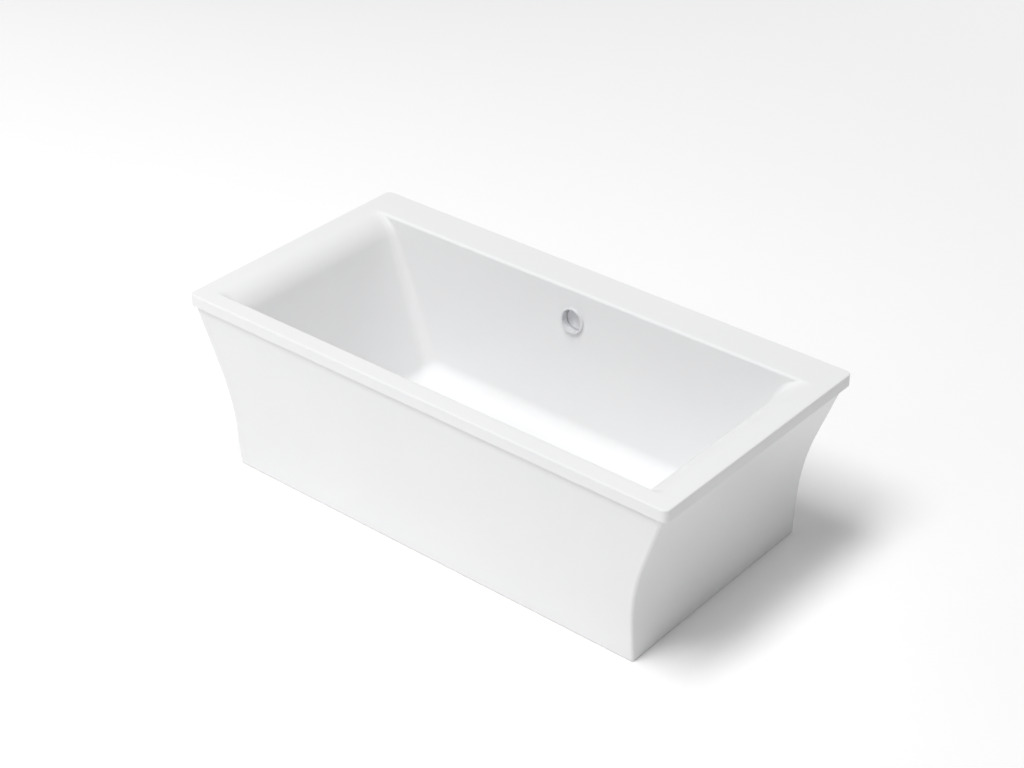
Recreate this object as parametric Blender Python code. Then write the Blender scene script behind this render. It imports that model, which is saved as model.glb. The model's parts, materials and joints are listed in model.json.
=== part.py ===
"""Freestanding rectangular soaking bath with a deep double-ended basin, a flared one-piece shroud,
a levelling frame and a toe-touch waste with overflow.

Metres, +Z up. The origin is on the floor under the middle of the rim. +X runs along the bath,
+Y points to the wide deck that carries the overflow side.
"""

import math

import bmesh
import bpy
from mathutils import Matrix, Vector

# ---------------------------------------------------------------- driving dimensions
LENGTH = 1.829  # rim, outside (72 in)
WIDTH = 0.914  # rim, outside (36 in)
HEIGHT = 0.600  # floor to deck

GAP = 0.0003  # between pieces that touch
FLOOR_Z = 0.105  # inside floor of the basin
SHELL = 0.007  # basin wall: acrylic with its glass-fibre backing

# Basin opening at deck level, and how its walls fall away
OPENING_X = 0.870  # half length, where the end rolls start
OPENING_FRONT = -0.402
OPENING_BACK = 0.332
OPENING_CORNER = 0.026
END_ROLL = 0.110  # radius of the soft roll into each backrest
SIDE_ROLL = 0.010  # radius of the crisp edge along each long side
END_SLOPE = math.radians(24.0)
SIDE_SLOPE = math.radians(4.4)
FLOOR_FILLET = 0.050
WALL_CORNER = 0.048  # plan radius between an end and a side, down in the basin
CORNER_BLEND = 0.450  # depth over which the corner grows to WALL_CORNER

# Rim
RIM_CORNER = 0.020
RIM_EDGE = 0.004
LIP_HEIGHT = 0.040
LIP_THICK = 0.005
LIP_EDGE = 0.002

# Drain in the floor, overflow in the back wall
WASTE_X = -0.010  # the drain, the overflow and their pipes stand in one plane
DRAIN_Y = (OPENING_FRONT + OPENING_BACK) / 2
DRAIN_HOLE = 0.0255
DRAIN_RECESS = 0.046
RECESS_DEPTH = 0.004
OVERFLOW_Z = 0.4945
OVERFLOW_HOLE = 0.0385
RING_R, RING_PROUD = 0.0435, 0.0100
RING_BORE, RING_TUBE, RING_REACH = 0.0360, 0.0380, 0.0240
DISC_R, DISC_FRONT, DISC_THICK = 0.0348, 0.0175, 0.0025

# Shroud
SHROUD_BOTTOM = 0.002  # floor joint
SHROUD_TOP = 0.5895
SHROUD_BAND = 0.555  # above this the shroud stands upright behind the lip
SHROUD_BASE_X = 0.7896
SHROUD_BASE_Y = 0.4096
SHROUD_SIDE_RISE = 0.0716  # outward lean of the long sides
SHROUD_STRAIGHT = 0.127  # the ends are upright up to here
SHROUD_BEND_TOP = 0.364  # and lean straight out from here
SHROUD_END_RISE = 0.3482
SHROUD_THICK = 0.005
SHROUD_CORNER = 0.009
SHROUD_FLANGE = 0.025

# Frame under the basin
BOARD = ((-0.500, -0.270, 0.0790), (0.500, 0.200, 0.0975))
BOARD_DRAIN_HOLE = 0.042
BEARER_X = {"left": -0.460, "centre": -0.160, "right": 0.460}
BEARER_END = 0.385
BEARER_WIDE = 0.030
BEARER_LOW, BEARER_HIGH = 0.0585, 0.0785
BEARER_WALL = 0.002
SCREW_Y = {"front": -0.200, "rear": 0.130}
SCREW_R, SCREW_HEAD_R = 0.002, 0.0045
SCREW_TOP = 0.092

# Battens and bead under the rim
BATTEN_TOP, BATTEN_THICK = 0.592, 0.018
BATTEN_HALF_LONG, BATTEN_HALF_SHORT = 0.850, 0.380
BATTEN_OUTER_Y, BATTEN_FRONT_Y, BATTEN_REAR_Y = 0.443, 0.411, 0.348
BATTEN_OUTER_X, BATTEN_INNER_X = 0.8905, 0.862
BEAD_OUTER, BEAD_INNER = 0.0005, 0.0045  # in from the shroud's outside

# Levelling feet
FOOT_Y = 0.345
STUD_R = 0.006
STUD_BOTTOM, STUD_TOP = 0.006, 0.092
PAD_R, PAD_H = 0.024, 0.009
PAD_BOSS_R, PAD_BOSS_H = 0.011, 0.022
NUT_FLATS, NUT_H = 0.019, 0.008
BRACKET_HALF, BRACKET_THICK = 0.015, 0.0025
BRACKET_OUTER, BRACKET_INNER, BRACKET_FOOT = 0.4045, 0.365, 0.0085

# Waste pipes
PIPE_R, PIPE_BORE = 0.019, 0.0175
SOCKET_R, SOCKET_BORE = 0.022, 0.0194
PIPE_Y = 0.358
SHOE_Z = 0.044
OUTLET_Z = 0.006
TEE_TOP, TEE_SIDE = 0.085, 0.300
SHOE_SIDE = 0.025
ELBOW_BOTTOM = 0.430
PIPE_INSERT = 0.015
ELBOW_R, ELBOW_BORE, ELBOW_DEEP = 0.0445, 0.0405, 0.0285
ELBOW_WALL = 0.003
SPOUT_TOP = OVERFLOW_Z - 0.012
SHOE_R, SHOE_BORE, SHOE_LOW = 0.029, 0.0245, 0.018
SHOE_FLANGE_R, SHOE_FLANGE, SHOE_TOP = 0.037, 0.0905, 0.0940
TEE_HUB_R, TEE_HUB_HALF = 0.0250, 0.0245
NUT_OUTER, NUT_SKIRT, NUT_CAP, NUT_LIP = 0.0265, 0.014, 0.0033, 0.003
SLIDE = 0.0005  # clearance of a slip nut, a gasket or a bead round what it fits over

# Drain flange, and the stopper that stands on its cross-bars
FLANGE_R, FLANGE_THROAT, SLEEVE_R, SLEEVE_BOTTOM = 0.0385, 0.0205, 0.0235, 0.0700
SPIDER_LOW, SPIDER_HIGH, SPIDER_HALF = 0.0780, 0.0820, 0.0020
BOSS_R, BOSS_LOW, BOSS_TOP = 0.0060, 0.0760, 0.0845
POST_R, POST_NECK, POST_BOTTOM, POST_COLLAR = 0.0030, 0.0035, 0.0740, 0.0878
CAP_R, CAP_UNDER, CAP_TOP, CAP_CLEAR = 0.0320, 0.1075, 0.1125, 0.0080
CAP_SLEEVE_OUT, CAP_SLEEVE_IN, CAP_SLEEVE_LOW = 0.0085, 0.0068, 0.0900
SEAL_OUTER, SEAL_INNER, SEAL_LOW = 0.0300, 0.0250, 0.1043
SPRING_TURNS, SPRING_R, SPRING_WIRE = 5, 0.0052, 0.0006

CUTTER = 0.010  # how far a cutter runs past what it cuts
ROUND = 32  # segments round a visible turned piece
PLAIN = 16  # and round a hidden one

Y_AXIS = Vector((0.0, 1.0, 0.0))
Z_AXIS = Vector((0.0, 0.0, 1.0))


# ---------------------------------------------------------------- materials
def material(name, colour, roughness, metallic=0.0):
    made = bpy.data.materials.new(name)
    made.use_nodes = True
    shader = made.node_tree.nodes["Principled BSDF"]
    shader.inputs["Base Color"].default_value = (*colour, 1.0)
    shader.inputs["Roughness"].default_value = roughness
    shader.inputs["Metallic"].default_value = metallic
    return made


def make_materials():
    return {
        "acrylic": material("acrylic", (0.86, 0.86, 0.86), 0.12),
        "chrome": material("chrome", (0.80, 0.80, 0.82), 0.06, 1.0),
        "rubber": material("rubber", (0.06, 0.06, 0.06), 0.7),
        "pipe": material("pipe", (0.78, 0.78, 0.76), 0.4),
        "board": material("board", (0.55, 0.40, 0.24), 0.8),
        "steel": material("steel", (0.62, 0.63, 0.65), 0.35, 1.0),
        "brass": material("brass", (0.72, 0.55, 0.25), 0.3, 1.0),
        "plastic": material("plastic", (0.10, 0.10, 0.11), 0.5),
        "sealant": material("sealant", (0.82, 0.82, 0.80), 0.6),
    }


# ---------------------------------------------------------------- mesh helpers
def add_object(name, mesh_maker, finish, smooth_angle=math.radians(35)):
    mesh = bpy.data.meshes.new(name)
    mesh_maker.normal_update()
    mesh_maker.to_mesh(mesh)
    mesh_maker.free()
    mesh.materials.append(finish)
    mesh.shade_smooth()
    mesh.set_sharp_from_angle(angle=smooth_angle)
    made = bpy.data.objects.new(name, mesh)
    bpy.context.scene.collection.objects.link(made)
    return made


def loft(loops, finish, name, ring=True):
    """Skins closed loops of equal length. A ring joins the last loop to the first; else both are capped."""
    bm = bmesh.new()
    rows = [[bm.verts.new(point) for point in loop] for loop in loops]
    pairs = list(zip(rows, rows[1:] + rows[:1])) if ring else list(zip(rows, rows[1:]))
    for lower, upper in pairs:
        for i in range(len(lower)):
            j = (i + 1) % len(lower)
            bm.faces.new((lower[i], lower[j], upper[j], upper[i]))
    if not ring:
        bm.faces.new(list(reversed(rows[0])))
        bm.faces.new(rows[-1])
    bmesh.ops.recalc_face_normals(bm, faces=bm.faces)
    return add_object(name, bm, finish)


def turned(name, profile, finish, segments=PLAIN, place=None):
    """Spins a closed profile of (radius, height) about Z, then puts it in place."""
    bm = bmesh.new()
    verts = [bm.verts.new((r, 0.0, z)) for r, z in profile]
    edges = [bm.edges.new((a, b)) for a, b in zip(verts, verts[1:] + verts[:1])]
    bmesh.ops.spin(
        bm,
        geom=verts + edges,
        cent=(0, 0, 0),
        axis=Z_AXIS,
        angle=math.tau,
        steps=segments,
        use_merge=True,
    )
    bmesh.ops.remove_doubles(bm, verts=bm.verts, dist=1e-6)
    on_axis = [v for v in bm.verts if v.is_valid and len(v.link_faces) == 0]
    bmesh.ops.delete(bm, geom=on_axis, context="VERTS")
    bmesh.ops.recalc_face_normals(bm, faces=bm.faces)
    made = add_object(name, bm, finish)
    if place is not None:
        made.matrix_world = place
    return made


def block(name, low, high, finish, bevel=0.0):
    """A box between two corners, with softened edges if bevel is given."""
    low, high = Vector(low), Vector(high)
    bm = bmesh.new()
    bmesh.ops.create_cube(bm, size=1.0)
    size, middle = high - low, (high + low) / 2
    bmesh.ops.scale(bm, vec=size, verts=bm.verts)
    if bevel:
        bmesh.ops.bevel(bm, geom=bm.edges, offset=bevel, segments=1, affect="EDGES")
    made = add_object(name, bm, finish)
    made.location = middle
    return made


def helper(made):
    """Marks a cutter or a shape that only joins another."""
    made.hide_render = True
    made.display_type = "WIRE"
    return made


def rod(name, start, end, radius, segments=PLAIN):
    """A helper cylinder from start to end."""
    start, end = Vector(start), Vector(end)
    bm = bmesh.new()
    bmesh.ops.create_cone(
        bm,
        cap_ends=True,
        segments=segments,
        radius1=radius,
        radius2=radius,
        depth=(end - start).length,
    )
    mesh = bpy.data.meshes.new(name)
    bm.to_mesh(mesh)
    bm.free()
    made = bpy.data.objects.new(name, mesh)
    bpy.context.scene.collection.objects.link(made)
    made.location = (start + end) / 2
    made.rotation_mode = "QUATERNION"
    made.rotation_quaternion = (end - start).to_track_quat("Z", "X")
    return helper(made)


def boolean(target, other, operation):
    step = target.modifiers.new(other.name, "BOOLEAN")
    step.operation = operation
    step.solver = "EXACT"
    step.object = other


def cut(target, *cutters):
    for cutter in cutters:
        boolean(target, cutter, "DIFFERENCE")


def join(target, *others):
    for other in others:
        boolean(target, other, "UNION")


# ---------------------------------------------------------------- outlines
def rounded_rectangle(x_low, x_high, y_low, y_high, z, radius, steps):
    """Points anticlockwise round a rectangle whose four corners are arcs of steps pieces."""
    corners = (
        (x_high - radius, y_high - radius, 0.0),
        (x_low + radius, y_high - radius, 90.0),
        (x_low + radius, y_low + radius, 180.0),
        (x_high - radius, y_low + radius, 270.0),
    )
    points = []
    for cx, cy, first in corners:
        for k in range(steps + 1):
            a = math.radians(first + 90.0 * k / steps)
            points.append((cx + radius * math.cos(a), cy + radius * math.sin(a), z))
    return points


def circle_for(cx, cy, z, radius, steps):
    """A circle with as many points as rounded_rectangle gives, in the same order."""
    count = 4 * (steps + 1)
    points = []
    for k in range(count):
        a = math.radians(45.0) + (k - steps / 2) * math.tau / count
        points.append((cx + radius * math.cos(a), cy + radius * math.sin(a), z))
    return points


def on_line(y, z):
    """A point in the plane of the drain, the overflow and their pipes."""
    return Vector((WASTE_X, y, z))


def spread(first, last, count):
    return [first + (last - first) * k / (count - 1) for k in range(count)]


# ---------------------------------------------------------------- basin
def wall_distance(z, top, roll, slope, grow):
    """How far out a basin wall is at height z: floor fillet, straight wall, then the roll up to the deck.

    top is where the roll leaves the deck, and grow moves the surface outwards by that much.
    """
    roll_z = HEIGHT - roll
    fillet_z = FLOOR_Z + FLOOR_FILLET
    wall_top = (top - roll * math.cos(slope), roll_z + roll * math.sin(slope))
    fillet_x = wall_top[0] - (
        FLOOR_FILLET + (wall_top[1] - fillet_z) * math.sin(slope)
    ) / math.cos(slope)
    big, small = FLOOR_FILLET + grow, roll - grow
    if z <= fillet_z - big * math.sin(slope):
        return fillet_x + math.sqrt(max(0.0, big**2 - (fillet_z - z) ** 2))
    if z >= roll_z + small * math.sin(slope):
        return top - math.sqrt(max(0.0, small**2 - (z - roll_z) ** 2))
    foot_z = fillet_z - big * math.sin(slope)
    foot_x = fillet_x + big * math.cos(slope)
    return foot_x + (z - foot_z) * math.tan(slope)


def bowl_heights(grow):
    """Heights of the bowl's loops, floor to deck, close together where the walls curve."""
    big = FLOOR_FILLET + grow
    fillet_z = FLOOR_Z + FLOOR_FILLET
    steep = math.pi / 2 - SIDE_SLOPE
    heights = [fillet_z - big * math.cos(a) for a in spread(0.0, steep, 7)]
    small = END_ROLL - grow
    roll_z = HEIGHT - END_ROLL
    roll_from = roll_z + small * math.sin(END_SLOPE)
    heights += spread(heights[-1], roll_from, 5)[1:]
    edge = SIDE_ROLL - grow
    edge_from = HEIGHT - SIDE_ROLL + edge * math.sin(SIDE_SLOPE)
    ends_at = math.acos((edge_from - roll_z) / small)
    turn = spread(math.pi / 2 - END_SLOPE, ends_at, 6)
    heights += [roll_z + small * math.cos(a) for a in turn[1:]]
    crisp = spread(steep, 0.0, 6)
    heights += [HEIGHT - SIDE_ROLL + edge * math.cos(a) for a in crisp[1:]]
    return heights


def bowl_loop(z, grow, steps):
    out_x = wall_distance(z, OPENING_X, END_ROLL, END_SLOPE, grow)
    half = (OPENING_BACK - OPENING_FRONT) / 2
    out_y = wall_distance(z, half, SIDE_ROLL, SIDE_SLOPE, grow)
    depth = HEIGHT - grow - z
    radius = grow + OPENING_CORNER
    radius += (WALL_CORNER - OPENING_CORNER) * min(1.0, depth / CORNER_BLEND)
    return rounded_rectangle(
        -out_x, out_x, DRAIN_Y - out_y, DRAIN_Y + out_y, z, radius, steps
    )


def rim_loop(inset, z, steps):
    x, y = LENGTH / 2 - inset, WIDTH / 2 - inset
    return rounded_rectangle(-x, x, -y, y, z, RIM_CORNER - inset, steps)


def make_basin(finish):
    steps = 6
    recess_z = FLOOR_Z - RECESS_DEPTH
    under_z = FLOOR_Z - SHELL
    loops = [
        circle_for(WASTE_X, DRAIN_Y, recess_z, DRAIN_HOLE, steps),
        circle_for(WASTE_X, DRAIN_Y, recess_z, DRAIN_RECESS - RECESS_DEPTH, steps),
        circle_for(WASTE_X, DRAIN_Y, FLOOR_Z, DRAIN_RECESS, steps),
    ]
    loops += [bowl_loop(z, 0.0, steps) for z in bowl_heights(0.0)]
    for a in spread(0.0, math.pi / 2, 4):
        inset = RIM_EDGE * (1 - math.sin(a))
        loops.append(rim_loop(inset, HEIGHT - RIM_EDGE * (1 - math.cos(a)), steps))
    lip_z = HEIGHT - LIP_HEIGHT
    loops += [
        rim_loop(0.0, lip_z + LIP_EDGE, steps),
        rim_loop(LIP_EDGE, lip_z, steps),
        rim_loop(LIP_THICK, lip_z, steps),
        rim_loop(LIP_THICK, HEIGHT - SHELL, steps),
    ]
    loops += [bowl_loop(z, SHELL, steps) for z in reversed(bowl_heights(SHELL))]
    loops += [
        circle_for(WASTE_X, DRAIN_Y, under_z, DRAIN_RECESS, steps),
        circle_for(WASTE_X, DRAIN_Y, under_z, DRAIN_HOLE, steps),
    ]
    basin = loft(loops, finish, "basin")
    place = overflow_place()
    hole = rod(
        "overflow_hole_cutter",
        place @ Vector((0, 0, -0.03)),
        place @ Vector((0, 0, 0.03)),
        OVERFLOW_HOLE,
        ROUND,
    )
    cut(basin, hole)
    return basin


def overflow_place():
    """Frame on the basin's back wall: origin at the overflow's centre, +Z pointing out through the wall."""
    half = (OPENING_BACK - OPENING_FRONT) / 2
    y = DRAIN_Y + wall_distance(OVERFLOW_Z, half, SIDE_ROLL, SIDE_SLOPE, 0.0)
    outwards = Vector((0.0, math.cos(SIDE_SLOPE), -math.sin(SIDE_SLOPE)))
    turn = outwards.to_track_quat("Z", "X").to_matrix().to_4x4()
    return Matrix.Translation((WASTE_X, y, OVERFLOW_Z)) @ turn


# ---------------------------------------------------------------- shroud and rim supports
def shroud_half(z):
    """Half length and half width of the shroud's outside at height z."""
    z = min(z, SHROUD_BAND)
    half_y = SHROUD_BASE_Y + SHROUD_SIDE_RISE * z
    lean = math.atan(SHROUD_END_RISE)
    bend = (SHROUD_BEND_TOP - SHROUD_STRAIGHT) / math.sin(lean)
    if z <= SHROUD_STRAIGHT:
        half_x = SHROUD_BASE_X
    elif z <= SHROUD_BEND_TOP:
        half_x = SHROUD_BASE_X + bend - math.sqrt(bend**2 - (z - SHROUD_STRAIGHT) ** 2)
    else:
        half_x = SHROUD_BASE_X + bend * (1 - math.cos(lean))
        half_x += SHROUD_END_RISE * (z - SHROUD_BEND_TOP)
    return half_x, half_y


def shroud_loop(z, inset, steps):
    half_x, half_y = shroud_half(z)
    x, y = half_x - inset, half_y - inset
    corner = max(SHROUD_CORNER - inset, 0.003)
    return rounded_rectangle(-x, x, -y, y, z, corner, steps)


def make_shroud(finish):
    steps = 3
    flange_z = SHROUD_BOTTOM + SHROUD_THICK
    heights = [SHROUD_BOTTOM, SHROUD_STRAIGHT]
    heights += spread(SHROUD_STRAIGHT, SHROUD_BEND_TOP, 9)[1:]
    heights += [SHROUD_BAND, SHROUD_TOP]
    loops = [shroud_loop(z, 0.0, steps) for z in heights]
    inside = [flange_z] + heights[1:]
    loops += [shroud_loop(z, SHROUD_THICK, steps) for z in reversed(inside)]
    loops += [
        shroud_loop(flange_z, SHROUD_FLANGE, steps),
        shroud_loop(SHROUD_BOTTOM, SHROUD_FLANGE, steps),
    ]
    return loft(loops, finish, "shroud")


def make_rim_supports(finish, bead):
    """Battens that stiffen the deck from below, and the bead that bonds it to the shroud's top edge."""
    low, high = BATTEN_TOP - BATTEN_THICK, BATTEN_TOP
    x, y = BATTEN_HALF_LONG, BATTEN_HALF_SHORT
    block("batten_front", (-x, -BATTEN_OUTER_Y, low), (x, -BATTEN_FRONT_Y, high), finish)
    block("batten_rear", (-x, BATTEN_REAR_Y, low), (x, BATTEN_OUTER_Y, high), finish)
    block("batten_left", (-BATTEN_OUTER_X, -y, low), (-BATTEN_INNER_X, y, high), finish)
    block("batten_right", (BATTEN_INNER_X, -y, low), (BATTEN_OUTER_X, y, high), finish)

    low, high, steps = SHROUD_TOP + GAP, HEIGHT - SHELL - GAP, 3
    edges = ((BEAD_OUTER, low), (BEAD_OUTER, high), (BEAD_INNER, high), (BEAD_INNER, low))
    loft([shroud_loop(z, inset, steps) for inset, z in edges], bead, "rim_bond_bead")


# ---------------------------------------------------------------- frame and feet
def make_board(finish):
    board = block("base_board", *BOARD, finish)
    low, high = BOARD[0][2] - CUTTER, BOARD[1][2] + CUTTER
    start, end = on_line(DRAIN_Y, low), on_line(DRAIN_Y, high)
    cutters = [rod("board_drain_cutter", start, end, BOARD_DRAIN_HOLE, 24)]
    for side, x in BEARER_X.items():
        for end, y in SCREW_Y.items():
            top = SCREW_TOP + GAP
            name = f"board_screw_cutter_{side}_{end}"
            cutters.append(rod(name, (x, y, low), (x, y, top), SCREW_R + GAP, 8))
    cut(board, *cutters)


def make_bearer(side, x, finish):
    """A square-cut steel tube across the bath, drilled for its two screws and two feet."""

    def section(y, inset):
        half = BEARER_WIDE / 2 - inset
        low, high = BEARER_LOW + inset, BEARER_HIGH - inset
        return [(x - half, y, low), (x + half, y, low), (x + half, y, high), (x - half, y, high)]

    ends = (-BEARER_END, BEARER_END)
    loops = [section(y, 0.0) for y in ends]
    loops += [section(y, BEARER_WALL) for y in reversed(ends)]
    bearer = loft(loops, finish, f"bearer_{side}")
    low, high = BEARER_LOW - CUTTER, BEARER_HIGH + CUTTER
    cutters = []
    for end, sign in (("front", -1), ("rear", 1)):
        y = sign * FOOT_Y
        name = f"bearer_foot_cutter_{side}_{end}"
        cutters.append(rod(name, (x, y, low), (x, y, high), STUD_R + GAP, 12))
        y = SCREW_Y[end]
        name = f"bearer_screw_cutter_{side}_{end}"
        cutters.append(rod(name, (x, y, low), (x, y, high), SCREW_R + GAP, 8))
    cut(bearer, *cutters)


def make_screw(side, end, x, y, finish):
    head_top = BEARER_LOW - GAP
    head_low = head_top - 0.003
    profile = [
        (0.0, head_low),
        (SCREW_HEAD_R * 0.7, head_low),
        (SCREW_HEAD_R, head_top - 0.001),
        (SCREW_HEAD_R, head_top),
        (SCREW_R, head_top),
        (SCREW_R, SCREW_TOP - 0.003),
        (0.0, SCREW_TOP),
    ]
    place = Matrix.Translation((x, y, 0.0))
    turned(f"bearer_screw_{side}_{end}", profile, finish, 8, place)


def make_foot(side, end, x, y, finishes):
    place = Matrix.Translation((x, y, 0.0))
    name = f"{side}_{end}"
    pad = [
        (0.0, 0.0),
        (PAD_R - 0.002, 0.0),
        (PAD_R, 0.002),
        (PAD_R, PAD_H - 0.003),
        (PAD_BOSS_R, PAD_H),
        (PAD_BOSS_R, PAD_BOSS_H),
        (STUD_R + GAP, PAD_BOSS_H),
        (STUD_R + GAP, STUD_BOTTOM - GAP),
        (0.0, STUD_BOTTOM - GAP),
    ]
    turned(f"foot_pad_{name}", pad, finishes["plastic"], PLAIN, place)
    chamfer = 0.001
    stud = [
        (0.0, STUD_BOTTOM),
        (STUD_R, STUD_BOTTOM),
        (STUD_R, STUD_TOP - chamfer),
        (STUD_R - chamfer, STUD_TOP),
        (0.0, STUD_TOP),
    ]
    turned(f"foot_stud_{name}", stud, finishes["steel"], 12, place)
    make_locknut(f"foot_locknut_{name}", place, finishes["steel"])


def make_locknut(name, place, finish):
    """A plain hexagon with a round bore, up against the bearer."""
    high, count = BEARER_LOW - GAP, 12
    low = high - NUT_H
    corner = NUT_FLATS / 2 / math.cos(math.pi / 6)
    loops = []
    for radius, z in ((corner, low), (corner, high), (STUD_R + GAP, high), (STUD_R + GAP, low)):
        ring = []
        for k in range(count):
            a = math.tau * k / count
            on_flat = radius == corner and k % 2
            r = NUT_FLATS / 2 if on_flat else radius
            ring.append((r * math.cos(a), r * math.sin(a), z))
        loops.append(ring)
    loft(loops, finish, name).matrix_world = place


def make_bracket(side, end, x, sign, finish):
    """A folded strap that ties a bearer's end to the shroud's foot."""
    high = BEARER_LOW - GAP
    low = high - BRACKET_THICK
    leg = BRACKET_OUTER - BRACKET_THICK
    section = [
        (BRACKET_INNER, low),
        (leg, low),
        (leg, BRACKET_FOOT),
        (BRACKET_OUTER, BRACKET_FOOT),
        (BRACKET_OUTER, high),
        (BRACKET_INNER, high),
    ]
    ends = (x - BRACKET_HALF, x + BRACKET_HALF)
    loops = [[(end_x, sign * y, z) for y, z in section] for end_x in ends]
    loft(loops, finish, f"shroud_bracket_{side}_{end}", ring=False)


# ---------------------------------------------------------------- overflow
def make_overflow(finishes):
    place = overflow_place()
    ring = [
        (RING_R, -GAP),
        (RING_R, -RING_PROUD * 0.35),
        (RING_R - 0.0006, -RING_PROUD * 0.62),
        (RING_R - 0.0021, -RING_PROUD * 0.86),
        (RING_R - 0.0044, -RING_PROUD),
        (RING_BORE + 0.0014, -RING_PROUD * 0.96),
        (RING_BORE + 0.0003, -RING_PROUD * 0.80),
        (RING_BORE, -RING_PROUD * 0.50),
        (RING_BORE, RING_REACH),
        (RING_TUBE, RING_REACH),
        (RING_TUBE, -GAP),
    ]
    turned("overflow_ring", ring, finishes["chrome"], ROUND, place)

    gasket_low, gasket_high = SHELL + GAP, SHELL + 0.0033
    gasket = [
        (ELBOW_R, gasket_low),
        (ELBOW_R, gasket_high),
        (RING_TUBE + SLIDE, gasket_high),
        (RING_TUBE + SLIDE, gasket_low),
    ]
    turned("overflow_gasket", gasket, finishes["rubber"], 24, place)

    front = gasket_high + GAP
    back = front + ELBOW_DEEP
    boss_r, boss_front = 0.0070, back - ELBOW_WALL - 0.0055
    stud_r, stud_end = 0.0030, back - ELBOW_WALL - 0.0015
    make_overflow_disc(finishes["chrome"], place, boss_front - GAP, stud_r, stud_end)

    chamber = [
        (0.0, back),
        (ELBOW_R - 0.004, back),
        (ELBOW_R, back - 0.004),
        (ELBOW_R, front),
        (0.0, front),
    ]
    elbow = turned("overflow_elbow", chamber, finishes["pipe"], 24, place)

    def depth(along):
        return place @ Vector((0, 0, along))

    spout_low, spout_high = on_line(PIPE_Y, ELBOW_BOTTOM), on_line(PIPE_Y, SPOUT_TOP)
    wall = ELBOW_WALL * Z_AXIS
    spout = rod("elbow_spout", spout_low, spout_high, SOCKET_R, 24)
    drilled = rod("elbow_spout_cutter", spout_low - 3 * wall, spout_high - wall, SOCKET_BORE, 24)
    room = rod("elbow_room_cutter", depth(front - CUTTER), depth(back - ELBOW_WALL), ELBOW_BORE, 24)
    boss = rod("elbow_boss", depth(boss_front), depth(back - ELBOW_WALL / 2), boss_r, 12)
    hole = rod("elbow_boss_cutter", depth(boss_front - CUTTER), depth(stud_end + GAP), stud_r + GAP, 12)
    join(elbow, spout)
    cut(elbow, room, drilled)
    join(elbow, boss)
    cut(elbow, hole)


def make_overflow_disc(finish, place, shoulder, stud_r, stud_end):
    """The plate that hides the overflow's inside, on a stem that screws into the elbow's boss."""
    stem_r, rear = 0.0050, DISC_FRONT + DISC_THICK
    profile = [
        (0.0, DISC_FRONT),
        (DISC_R - 0.0006, DISC_FRONT),
        (DISC_R, DISC_FRONT + 0.0006),
        (DISC_R, rear),
        (stem_r, rear),
        (stem_r, shoulder),
        (stud_r, shoulder),
        (stud_r, stud_end),
        (0.0, stud_end),
    ]
    turned("overflow_disc", profile, finish, ROUND, place)


# ---------------------------------------------------------------- waste
def make_pipe(name, start, end, finish):
    """A plain tube between two points."""
    start, end = Vector(start), Vector(end)
    length = (end - start).length
    profile = [(PIPE_R, 0.0), (PIPE_R, length), (PIPE_BORE, length), (PIPE_BORE, 0.0)]
    turn = (end - start).to_track_quat("Z", "X").to_matrix().to_4x4()
    turned(name, profile, finish, 20, Matrix.Translation(start) @ turn)


def make_slip_nut(name, mouth, outwards, finish):
    """A union nut over a socket's mouth. outwards points out of the socket, along its pipe."""
    top, chamfer = NUT_CAP + NUT_LIP, 0.001
    profile = [
        (SOCKET_R + SLIDE, -NUT_SKIRT),
        (NUT_OUTER - chamfer, -NUT_SKIRT),
        (NUT_OUTER, chamfer - NUT_SKIRT),
        (NUT_OUTER, top - NUT_LIP),
        (NUT_OUTER - NUT_LIP, top),
        (PIPE_R + SLIDE, top),
        (PIPE_R + SLIDE, GAP),
        (SOCKET_R + SLIDE, GAP),
    ]
    turn = Vector(outwards).to_track_quat("Z", "X").to_matrix().to_4x4()
    turned(name, profile, finish, PLAIN, Matrix.Translation(mouth) @ turn)


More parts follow.
